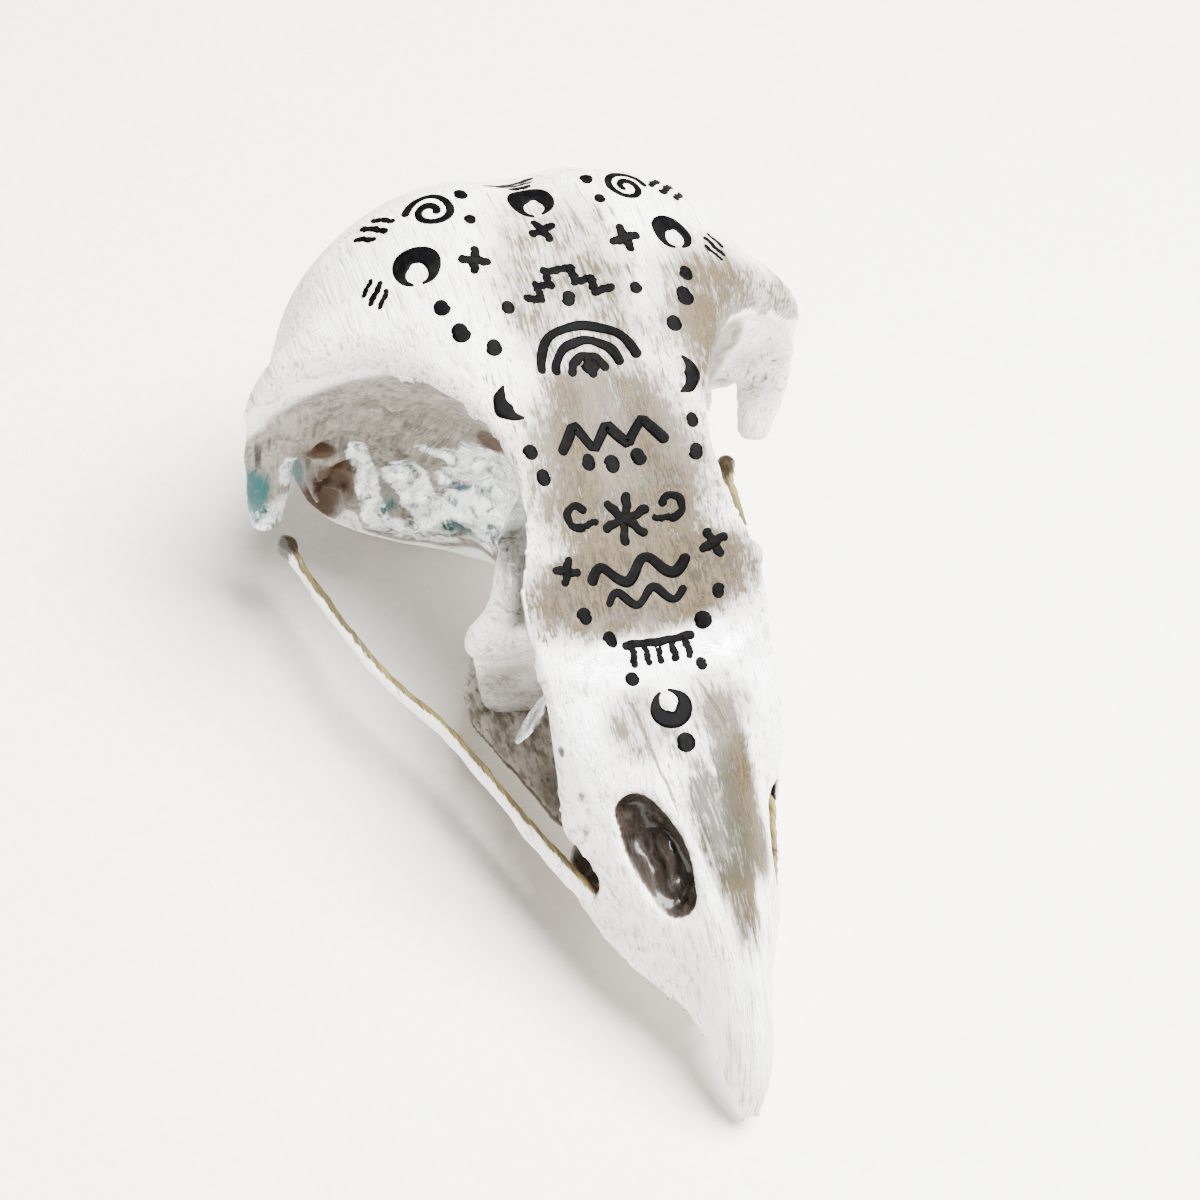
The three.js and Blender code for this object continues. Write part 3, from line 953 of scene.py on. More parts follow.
CRACKS = (
    Crack(Course(((-2.9, -7.0, 18.7), (-2.7, -8.8, 18.1), (-2.4, -10.6, 17.4), (-1.9, -13.2, 16.2)))),
    Crack(Course(((2.2, -6.9, 18.8), (2.3, -7.6, 18.6), (2.6, -8.4, 18.3), (2.8, -9.3, 18.0)))),
)
ORBIT_PAINT = (
    *patches(
        Tone.SILVER,
        ((4.6, 15.4, 14.2), (2.6, 4.4, 5.0)),
        ((5.0, 14.4, 18.6), (2.0, 3.0, 2.0), 0.8),
        ((4.2, 9.0, 18.8), (2.8, 4.5, 3.0), 0.9),
        ((9.4, 18.6, 14.8), (1.3, 2.4, 1.2), 1.0, SIDES, (6.6, 17.4, 10.0)),
        ((12.6, 19.4, 17.2), (0.8, 2.4, 1.0), 1.0, SIDES, (10.8, 19.2, 9.8)),
        ((8.4, 18.6, 8.8), (3.4, 3.0, 1.4), 0.8),
        ((7.2, 17.2, 17.9), (2.2, 2.0, 0.8), 0.65),
        ((17.2, 19.8, 16.2), (0.8, 2.0, 1.4), 0.8),
    ),
    *patches(
        Tone.TEAL,
        ((5.6, 16.6, 10.2), (1.3, 2.0, 1.0), 0.7),
        ((16.0, 22.6, 11.8), (1.0, 2.6, 1.8), 0.8),
        ((10.3, 19.0, 12.2), (0.7, 2.0, 2.6), 0.4),
        ((7.6, 17.8, 12.6), (0.6, 2.0, 2.0), 0.35),
    ),
    *patches(
        Tone.BROWN,
        ((13.7, 21.4, 13.6), (1.9, 3.6, 2.6)),
        ((14.0, 22.4, 9.0), (1.9, 3.0, 3.0), 0.9),
        ((15.0, 19.4, 17.3), (1.2, 1.4, 0.7), 0.9),
        ((5.1, 13.9, 21.9), (0.9, 1.8, 1.7)),
    ),
    # painted shade: near-black in the small carved holes of the orbit wall
    *patches(
        Tone.DARK,
        ((14.6, 19.3, 17.9), (0.9, 1.2, 0.22), 0.9),
        ((9.4, 18.0, 16.5), (0.7, 0.9, 0.35)),
    ),
    *patches(Tone.BEIGE, ((3.6, 14.6, 12.4), (0.5, 1.2, 0.9))),
    # soft white strokes on the orbit's roof, partly a painted highlight
    *patches(Tone.WHITE, ((10.8, 16.6, 22.4), (3.4, 3.0, 1.1), 0.3)),
)
OUTER_PAINT = (
    *patches(
        Tone.BEIGE,
        ((0.6, 6.0, 26.0), (6.0, 10.0, 6.0), 0.9),
        ((1.5, -0.6, 22.5), (7.0, 3.2, 4.0), 1.0),
        ((0.8, 16.5, 31.5), (4.6, 9.0, 5.0), 0.62),
        ((10.0, 14.5, 28.0), (7.0, 7.0, 6.0), 0.8, (1,)),
        ((17.0, 19.0, 25.0), (4.0, 4.0, 4.0), 0.6, (1,)),
        ((2.6, -8.4, 18.4), (2.6, 2.8, 2.0), 0.62),
        ((2.6, -9.0, 17.0), (1.6, 2.4, 4.0), 0.9, (1,), (2.4, -16.0, 14.4)),
        ((0.6, -18.6, 14.4), (1.1, 2.2, 1.6), 0.85, (1,), (0.6, -22.0, 12.4)),
        ((0.2, -13.6, 16.4), (1.8, 2.4, 1.6), 0.75, (1,), (0.5, -18.4, 14.5)),
    ),
    *patches(
        Tone.WHITE,
        ((2.6, -4.8, 20.2), (4.2, 1.6, 2.2), 0.9),
        ((6.4, -6.8, 17.8), (1.6, 2.4, 2.4), 0.8, SIDES, (6.8, -11.4, 13.4)),
        ((2.5, -12.0, 16.3), (0.4, 2.0, 1.6), 0.9, (-1,), (1.2, -19.5, 13.6)),
        ((4.4, -16.0, 9.5), (3.4, 5.0, 4.4), 0.5),
        ((0, -24.5, 9.0), (3.0, 6.0, 6.0), 0.65),
        ((12.0, 20.0, 29.5), (5.0, 6.0, 5.0), 0.4, (-1,)),
    ),
    *patches(Tone.GREEN, ((0.5, -10.4, 17.6), (2.0, 1.8, 1.6), 0.66, (1,), (0.5, -17.0, 15.1))),
    *patches(Tone.DARK, ((7.6, -8.0, 16.8), (0.4, 0.4, 0.4), 0.8)),
    *patches(Tone.TEAL, ((7.5, -8.8, 16.0), (0.7, 1.0, 0.8), 0.6)),
    *patches(Tone.BROWN, ((8.6, 0.1, 22.2), (0.6, 0.8, 0.7), 0.9, (1,))),
    *patches(Tone.SILVER, ((4.6, -4.8, 20.0), (2.4, 1.0, 1.4), 0.5)),
)
PROCESS_PAINT = (
    *patches(Tone.TEAL, ((19.8, 19.0, 14.8), (1.3, 2.0, 2.8), 0.8, (-1,))),
    *patches(Tone.SILVER, ((18.8, 19.3, 12.6), (2.0, 2.2, 1.8), 0.7, (-1,))),
    # painted shade: dark in the slot carved in the process
    *patches(
        Tone.DARK,
        ((19.5, 19.2, 18.4), (0.35, 1.0, 1.6), 0.7, (-1,)),
        ((18.7, 19.2, 19.2), (0.3, 1.0, 0.9), 0.6, (-1,)),
    ),
)
FAR_BROW_PAINT = (
    *patches(Tone.BEIGE, ((17.0, 19.5, 19.0), (3.4, 4.0, 5.0), 0.38, (1,))),
    *patches(Tone.WHITE, ((18.0, 19.3, 13.0), (2.4, 2.4, 2.4), 0.5, (1,))),
)
SHELF_PAINT = (
    *patches(Tone.BEIGE, ((6.2, -11.2, 8.6), (2.4, 3.4, 2.4))),
    *patches(
        Tone.BROWN,
        ((5.9, -11.6, 7.6), (2.3, 3.0, 1.3), 0.62),
        ((6.2, -11.6, 9.6), (1.6, 2.6, 1.2), 0.85),
    ),
)
PLATE_PAINT = (
    *patches(
        Tone.GREY,
        ((7.0, 2.0, 8.8), (5.0, 3.0, 5.6), 0.55),
        ((8.4, 1.4, 15.2), (2.2, 2.2, 1.2), 0.45),
    ),
    *patches(
        Tone.BROWN,
        ((9.4, 2.0, 10.5), (1.6, 3.0, 3.4), 0.4),
        ((10.4, 3.0, 14.2), (0.7, 1.4, 1.6), 0.8),
    ),
    *patches(Tone.WHITE, ((7.6, 1.4, 17.0), (2.4, 2.2, 2.0), 0.4)),
    *patches(Tone.SILVER, ((5.6, 5.6, 19.4), (2.4, 3.2, 2.4), 0.6)),
    # painted shade: near-black in the small carved hole of the plate
    *patches(Tone.DARK, ((10.4, 3.0, 16.0), (0.6, 0.9, 0.7))),
)


@dataclass(frozen=True)
class Cranium:
    """The beak, forehead, braincase, septum and the plates that grow from them, as one skin of bone.

    Its masks fade between two limits, which are places, heights or hollowness in millimetres.
    """

    voxel: float = 0.33
    coarse_voxel: float = 0.5
    beak_root: float = -14
    beak_length: float = 14
    swirl_length: float = 18
    shade_reach: float = 4.0
    lump_height: float = 0.06
    orbit_lump_height: float = 0.17
    ridge_height: float = 0.4
    lip_height: float = 0.04
    lip_roughness: float = 0.07
    band_roughness: float = 0.17
    nostril_fold_height: float = 0.3
    ear_fold_height: float = 0.35
    hollows: tuple[Egg, ...] = (
        Egg((14, 21, 8.4), (2.6, 2.4, 3.2)),
        Egg((22.2, 26.2, 15.5), (6.6, 5.4, 7.4)),
        Egg((16.7, 21, 13), (1.8, 4.2, 4.4)),
        Egg((15.3, 19.4, 15.3), (1.2, 1.5, 1.1)),
        Egg((13.2, 19.0, 15.1), (1.2, 1.5, 1.2)),
        Egg((13.9, 19.9, 12.8), (1.25, 1.9, 2.0)),
        Egg((14.8, 19.2, 17.8), (1.1, 0.9, 0.45), (0, 15, 0)),
        Egg((9.5, 17.8, 16.6), (0.8, 0.8, 0.35), (0, 20, 0)),
        Egg((19.0, 18.9, 18.8), (0.4, 0.4, 1.4)),
        Egg((6.8, -11.3, 9.4), (2.0, 2.8, 1.5), (0, 0, -12)),
        Egg((10.3, 2.9, 16.0), (0.55, 0.9, 0.7)),
        Egg((6.9, -17.4, 8.4), (0.5, 0.4, 0.4)),
        Egg((2.3, -22.6, 9.4), (0.35, 0.4, 0.35)),
    )
    lumps: tuple[Egg, ...] = (
        Egg((6.8, 27.8, 2.4), (2.4, 3.0, 2.4)),
        Egg((8.2, 2.0, 16.5), (2.6, 1.3, 2.7)),
        Egg((4.9, -11.0, 6.7), (1.7, 2.4, 0.5)),
    )
    knob: Egg = Egg((7.9, 0.1, 22.3), (0.7, 1.0, 0.8))
    ear: Egg = Egg((14.2, 21.4, 12.4), (3.0, 4.4, 6.2))
    foramen: Egg = Egg((0, 36, 8), (2.7, 3.4, 2.4))
    condyle: Egg = Egg((0, 33.6, 4.6), (1.5, 1.7, 1.4))
    strut: Bar = Bar(
        Course(((2.2, 12.4, 17.8), (4.2, 8.6, 19.0), (6.0, 5.4, 19.6), (7.2, 3.4, 19.0), (7.9, 1.9, 17.2))),
        Outline(((0, 1.0), (0.3, 1.5), (0.55, 1.7), (0.75, 1.6), (1, 1.9))), steady(0.6), (1, 0.4, 0))
    plate: Bar = Bar(
        Course(((4, -1.8, 21), (4.8, 0.4, 18), (5.6, 2.2, 14.6), (5.6, 2.9, 11.4), (5.6, 2.9, 6.9))),
        Outline(((0, 2.4), (0.25, 3.4), (0.4, 4.4), (0.55, 4.2), (0.8, 3.5), (1, 2.6))),
        steady(0.8), (1, 0.2, 0))

    def build(self) -> Object:
        """Builds, sculpts and paints the skin.

        Returns:
            The finished piece, in millimetres.
        """
        piece = BLOCK.build()
        cutters = [self.foramen.build()]
        bones = [self.condyle.build(), self.knob.build(), NOSTRIL_SCROLL.build(-1)]
        for side in SIDES:
            cutters += [hollow.build(BLOCK, side) for hollow in (SOCKET, CHEEK)]
            cutters += [NOSTRILS[side].build("nostril", side)]
            cutters += [egg.build(side) for egg in self.hollows]
            bones += [bar.build("plate", side) for bar in (PROCESS, self.plate, self.strut)]
            bones += [egg.build(side) for egg in self.lumps]
        carve(piece, cutters)
        join(piece, bones)
        remesh(piece, self.voxel, 3)
        survey = Survey(piece.data)
        self.sculpt(survey)
        self.paint(survey)
        return piece

    def under(self, spots: np.ndarray) -> np.ndarray:
        """Gives how far below the skull's top each spot lies."""
        return BLOCK.top(spots[:, 0], spots[:, 1]) - spots[:, 2]

    def depth(self, spots: np.ndarray) -> np.ndarray:
        """Gives how deep under the skull's sloping top each spot lies, square to it."""
        x, y = spots[:, 0], spots[:, 1]
        step = 0.1
        slope = (BLOCK.top(x + step, y) - BLOCK.top(x - step, y)) / (2 * step)
        return self.under(spots) / np.sqrt(1 + slope**2)

    def orbit(self, spots: np.ndarray) -> np.ndarray:
        """Gives 1 inside the orbits and under the brows, and 0 on the outside."""
        inside = np.maximum(fade(SOCKET.reach(spots), 1.12, 1.04), fade(CHEEK.reach(spots), 1.06, 1.01))
        for side in SIDES:
            inside = np.maximum(inside, fade(self.ear.reach(spots, side), 1.15, 1.0))
        wall = BLOCK.half_width(spots[:, 1]) - np.abs(spots[:, 0])
        inside *= np.maximum(fade(wall, 0.3, 0.8), fade(spots[:, 1], -6, -4))
        return inside * fade(self.under(spots), 0.15, 0.4)

    def nostril(self, spots: np.ndarray) -> np.ndarray:
        """Gives 1 inside the nostrils and 0 on the outside."""
        total = np.zeros(len(spots))
        for side, bar in NOSTRILS.items():
            total = np.maximum(total, fade(bar.distance(spots, side), 3.5, 3.1))
        return total * fade(self.depth(spots), 0.16, 0.5)

    def plates(self, spots: np.ndarray) -> np.ndarray:
        """Gives 1 on the plates and struts before the orbits."""
        x, y, z = spots.T
        return fade(np.abs(x), 3.2, 4.2) * fade(y, -3.4, -2.4) * fade(y, 7.5, 6.0) * fade(z, 21.0, 20.0)

    def sculpt(self, survey: Survey) -> None:
        """Roughens the bone: lumps, folds in the orbits, the rough lip of the rim and the worn beak."""
        spots = survey.spots
        x, y, z = spots.T
        orbit = self.orbit(spots)
        nostril = self.nostril(spots)
        plates = self.plates(spots)
        lumps = grain(spots, 3.6, 1, 3) * self.lump_height
        orbit_lumps = grain(spots, (2.0, 3.6, 2.2), 2, 3) * self.orbit_lump_height
        orbit_lumps *= orbit * (1 - plates * 0.6)
        ridges = (0.25 - np.abs(grain(spots, (2.6, 4.2, 2.6), 3, 2))) * self.ridge_height * orbit
        folded = Patch(Tone.SILVER, (9.5, 15.5, 15.0), (7, 6, 6)).mask(spots)
        lip = fade(-survey.hollowness(8), 0.16, 0.42) * fade(y, -9, -7) * fade(z, 9, 12)
        band = Patch(Tone.WHITE, (3.4, -4.4, 20.3), (4.6, 1.8, 2.4)).mask(spots)
        side_band = Patch(Tone.WHITE, (6.6, -8.6, 16.0), (1.8, 5.0, 4.4)).mask(spots)
        beak = fade(y, -11, -15) * (1 - nostril)
        nostril_floor = nostril * fade(self.depth(spots), 0.6, 1.2)
        ear_folds = Patch(Tone.BROWN, (14.3, 20.4, 13.6), (2.4, 3.0, 3.0)).mask(spots)
        push = lumps + orbit_lumps + ridges * folded
        push += survey.hollowness(16) * plates * 0.9
        push += lip * (self.lip_height + grain(spots, 0.9, 4, 2) * self.lip_roughness)
        rough = np.maximum(band, side_band * 0.7)
        push += rough * grain(spots, 1.1, 5, 2) * self.band_roughness * (1 - orbit)
        push += survey.hollowness(6) * beak * 0.8
        push += nostril_floor * grain(spots, (1.1, 1.5, 1.3), 6, 2) * self.nostril_fold_height
        push += ear_folds * grain(spots, 1.8, 7, 2) * self.ear_fold_height
        survey.push(push)

    def paint(self, survey: Survey) -> None:
        """Lays down where each paint and stain goes, and the painted shade in the nostrils, holes and
        deepest hollows.
        """
        spots = survey.spots
        x, y, z = spots.T
        orbit = self.orbit(spots)
        nostril = self.nostril(spots)
        outside = (1 - orbit) * (1 - nostril)
        shade = survey.shade(self.shade_reach)
        lip = outside * fade(self.under(spots), 0.3, 0.55) * fade(y, -8, -6) * fade(y, 22, 20)
        near_orbit = orbit * (1 - self.plates(spots) * orbit) * (1 - fade(x, 12.5, 15.5))
        shelf = fade(y, -14.6, -14.0) * fade(z, 13, 11.5) * fade(np.abs(x), 6.9, 6.5)
        process = fade(np.abs(x), 16.2, 17) * fade(z, 24, 22)
        coat = Coat(spots)
        coat.lay_patches(OUTER_PAINT, outside)
        coat.lay_patches(SHELF_PAINT, shelf)
        coat.lay(Tone.GREY, near_orbit)
        coat.lay_patches(ORBIT_PAINT, near_orbit)
        coat.lay_patches(FAR_BROW_PAINT, orbit)
        coat.lay_patches(PLATE_PAINT, self.plates(spots))
        coat.lay_patches(PROCESS_PAINT, process)
        coat.lay(Tone.WHITE, fade(-survey.hollowness(6), 0.12, 0.3) * outside)
        coat.lay(Tone.WHITE, lip)
        coat.wipe(Tone.BEIGE, lip)
        # the nostrils' own dark brown insides, with painted shade making them darker where they are more
        # enclosed
        coat.lay(Tone.DARK, nostril * (0.62 + 0.2 * fade(shade, 0.5, 0.9)))
        coat.lay(Tone.BROWN, nostril)
        coat.wipe(Tone.WHITE, nostril)
        # painted shade: brown laid in the deepest hollows, where most directions meet the skull
        coat.lay(Tone.BROWN, fade(shade, 0.82, 0.98) * (1 - nostril) * 0.6)
        coat.tones[Tone.CRACK] = self.cracks(spots)
        coat.keep(survey.mesh, self.strokes(spots, orbit))

    def cracks(self, spots: np.ndarray) -> np.ndarray:
        """Gives each spot's distance from the nearest crack, up to 1, with a sign for its side of it."""
        nearest = np.ones(len(spots))
        for crack in CRACKS:
            offset = crack.offset(spots)
            nearest = np.where(np.abs(offset) < np.abs(nearest), offset, nearest)
        return nearest

    def strokes(self, spots: np.ndarray, orbit: np.ndarray) -> np.ndarray:
        """Gives places in which the brush ran along Y.

        Args:
            spots: The places on the skull.
            orbit: The orbits' mask.

        Returns:
            The places on the outside as they are, bent round the beak before its root, and with swirls
            round the orbit's centre inside it.
        """
        x, y, z = spots.T
        bend = np.arctan2(z, self.beak_root - y)
        bent = self.beak_root - self.beak_length * (math.pi / 2 - bend)
        beak = np.column_stack([x, bent, np.hypot(z, y - self.beak_root)])
        outer = np.where((y < self.beak_root)[:, None], beak, spots)
        back, up = y - SOCKET.centre[1], z - SOCKET.centre[2]
        radius = np.hypot(up, back) + grain(spots, 4, 8, 2) * 1.3
        swirl = np.column_stack([radius, np.arctan2(up, back) * self.swirl_length, x])
        return np.where((orbit > 0.5)[:, None], swirl, outer)


@dataclass(frozen=True)
class SlenderBone:
    """A thin bone on each side: the cheek's bar, the plate of the palate or a thin fin above it.

    Its outer face may be white or brown, and strokes stretches the brush marks along each axis.
    """

    name: str
    bars: tuple[Bar, ...]
    finish: Finish
    patches: tuple[Patch, ...]
    lumps: tuple[Egg, ...] = ()
    outer_white: float = 0.0
    outer_brown: float = 0.0
    strokes: Triple = (1, 1, 1)
    roughness: float = 0.06
    voxel: float = 0.16
    in_solids: bool = True

    def build(self, side: int) -> Object:
        """Builds, roughens and paints the bone on one side.

        Args:
            side: 1 for the left and -1 for the right.

        Returns:
            The bone, in millimetres.
        """
        pieces = [bar.build(self.name, side) for bar in self.bars]
        pieces += [egg.build(side, 24, 16) for egg in self.lumps]
        if len(pieces) > 1:
            join(pieces[0], pieces[1:])
            remesh(pieces[0], self.voxel, 2)
        survey = Survey(pieces[0].data)
        survey.push(grain(survey.spots, 1.4, 5, 3) * self.roughness)
        spots = survey.spots
        everywhere = np.ones(len(spots))
        outward = survey.normals[:, 0] * side * 0.8 - survey.normals[:, 1] * 0.6
        coat = Coat(spots)
        coat.lay(Tone.BEIGE, everywhere * 0.9)
        coat.lay(Tone.WHITE, fade(outward + grain(spots, 1.5, 9, 2) * 0.25, 0.1, 0.5) * self.outer_white)
        coat.lay(Tone.BROWN, fade(outward, 0.25, 0.75) * self.outer_brown)
        coat.lay(Tone.CRACK, everywhere)
        coat.lay_patches(self.patches, everywhere)
        coat.keep(survey.mesh, spots * self.strokes)
        return pieces[0]

    def finish_side(self, side: int, word: str) -> None:
        """Builds the bone on one side and finishes it under that side's name."""
        piece = self.build(side)
        piece.name = f"{self.name}_{word}_bone"
        finish_piece(piece, self.finish, [f"{self.name}_{word}"] if self.in_solids else [])


OLD_BONE = PaintedBone(
    "old_bone", beige=((0.04, 0.03, 0.009), (0.28, 0.21, 0.075)), brown=(0.02, 0.014, 0.007))
PLATE_BONE = PaintedBone(
    "plate_bone", beige=((0.16, 0.13, 0.095), (0.78, 0.73, 0.65)), brown=(0.04, 0.022, 0.01))
SILVER_LEAF = PaintedBone("silver_leaf")
SLENDER_BONES = (
    SlenderBone(
        "jugal_bar", (JUGAL,), OLD_BONE,
        (Patch(Tone.BROWN, (17.1, 19.6, 8.4), (1.2, 1.4, 1.2), 0.9),
         Patch(Tone.GREEN, (15.6, 12.0, 8.3), (1.4, 5.5, 1.4), 0.6)),
        lumps=(Egg((17.15, 19.7, 8.2), (0.75, 0.85, 0.8)),), outer_white=0.95, roughness=0.09),
    SlenderBone(
        "palatine", (PALATINE, KNEE), PLATE_BONE,
        (Patch(Tone.BROWN, (5.0, -4.4, 7.0), (2.0, 3.0, 1.0), 0.45),
         Patch(Tone.WHITE, (7.0, 2.6, 7.0), (1.8, 3.0, 1.0), 0.45)),
        outer_brown=0.85, strokes=(0.4, 3.0, 0.8), roughness=0.1),
    SlenderBone(
        "fin", (FIN,), SILVER_LEAF,
        (Patch(Tone.SILVER, (7.4, -3.4, 14.4), (2, 2, 4)),
         Patch(Tone.TEAL, (7.1, -4.2, 14.6), (1, 1, 1.6), 0.8)),
        roughness=0.05, in_solids=False),
)


# The drawing


@dataclass(frozen=True)
class Stroke:
    """One stroke of the pen: points in millimetres on the motif's own sheet and a width along them."""

    points: tuple[Pair, ...]
    width: float = 0.75
    swell: float = 0.0

    def line(self, u: np.ndarray) -> np.ndarray:
        """Gives the stroke's middle line at u, from 0 to 1."""
        knots = np.array(self.points, float)
        lengths = np.r_[0, np.cumsum(np.linalg.norm(np.diff(knots, axis=0), axis=1))]
        spot = u * lengths[-1]
        return np.column_stack([np.interp(spot, lengths, knots[:, k]) for k in (0, 1)])

    def length(self) -> float:
        """Gives the stroke's length."""
        return float(np.linalg.norm(np.diff(np.array(self.points, float), axis=0), axis=1).sum())


def arc(radius: float, start: float, end: float, shrink: float = 0) -> tuple[Pair, ...]:
    """Gives points on an arc round the motif's middle.

    Args:
        radius: Its radius in millimetres.
        start: The angle in degrees where it starts.
        end: The angle where it ends.
        shrink: How much the radius shrinks per degree, for a spiral.

    Returns:
        The points.
    """
    angles = np.radians(np.linspace(start, end, 25))
    radii = radius - shrink * np.linspace(0, abs(end - start), 25)
    return tuple(zip(radii * np.cos(angles), radii * np.sin(angles)))


STAIR = (
    (-2.9, -1.4), (-1.9, -1.4), (-1.9, -0.3), (-0.9, -0.3), (-0.9, 0.9), (0.9, 0.9), (0.9, -0.3),
    (1.9, -0.3), (1.9, -1.4), (2.9, -1.4))


class Motif(Enum):
    """The figures of the drawing, each a set of strokes."""

    DOT = (Stroke(((0, -0.08), (0, 0.08)), 1.0),)
    PLUS = (Stroke(((-0.95, 0), (0.95, 0))), Stroke(((0, -0.95), (0, 0.95))))
    STAR = tuple(Stroke(((-c, -s), (c, s)), 0.5) for c, s in ((1.2, 0), (0.6, 1.04), (-0.6, 1.04)))
    CRESCENT = (Stroke(arc(1.15, 200, 520), 0.25, 1.15),)
    BOW = (Stroke(arc(1.9, 205, 335), 0.3, 1.3),)
    ARCS = tuple(Stroke(arc(r, 8, 172), 0.62) for r in (1.1, 2.15, 3.2))
    ZIGZAG = (Stroke((
        (-3.4, -0.7), (-2.3, 0.8), (-1.15, -0.7), (0, 0.8), (1.15, -0.7), (2.3, 0.8), (3.4, -0.7)), 0.7),)
    WAVE = (Stroke(tuple((x, 0.62 * math.sin(x * 2.1)) for x in np.linspace(-3, 3, 33)), 0.65),)
    STEPS = tuple(Stroke(ends, 0.6) for ends in zip(STAIR, STAIR[1:]))
    OVAL = (Stroke(((0, 0.6), (0, -0.6)), 0.8, 0.7),)
    SPIRAL = (Stroke(arc(1.65, 20, 560, shrink=0.0024), 0.5),)
    COMB = (Stroke(((-2.4, 0.6), (2.4, 0.6)), 0.6),
            *(Stroke(((x, 0.6), (x, -0.8)), 0.5) for x in (-2, -1, 0, 1, 2)))
    HATCH = (Stroke(((-1.2, -0.7), (-0.6, 0.7)), 0.45), Stroke(((-0.3, -0.9), (0.3, 0.9)), 0.5),
             Stroke(((0.7, -0.7), (1.2, 0.6)), 0.45))
    BARS = (Stroke(((-1.5, 0.9), (1.5, 0.9)), 0.6), Stroke(((-1, -0.1), (1, -0.1)), 0.6),
            Stroke(((-0.5, -1.05), (0.5, -1.05)), 0.6))
    HOOK = (Stroke(arc(0.8, -80, 170), 0.6), Stroke(((0.14, -0.8), (-1.1, -1.1)), 0.5))


@dataclass(frozen=True)
class Mark:
    """A motif at a place on the skull's top, turned by degrees and scaled, on both sides if it is paired."""

    motif: Motif
    at: Pair
    turn: float = 0.0
    scale: float = 1.0
    paired: bool = False


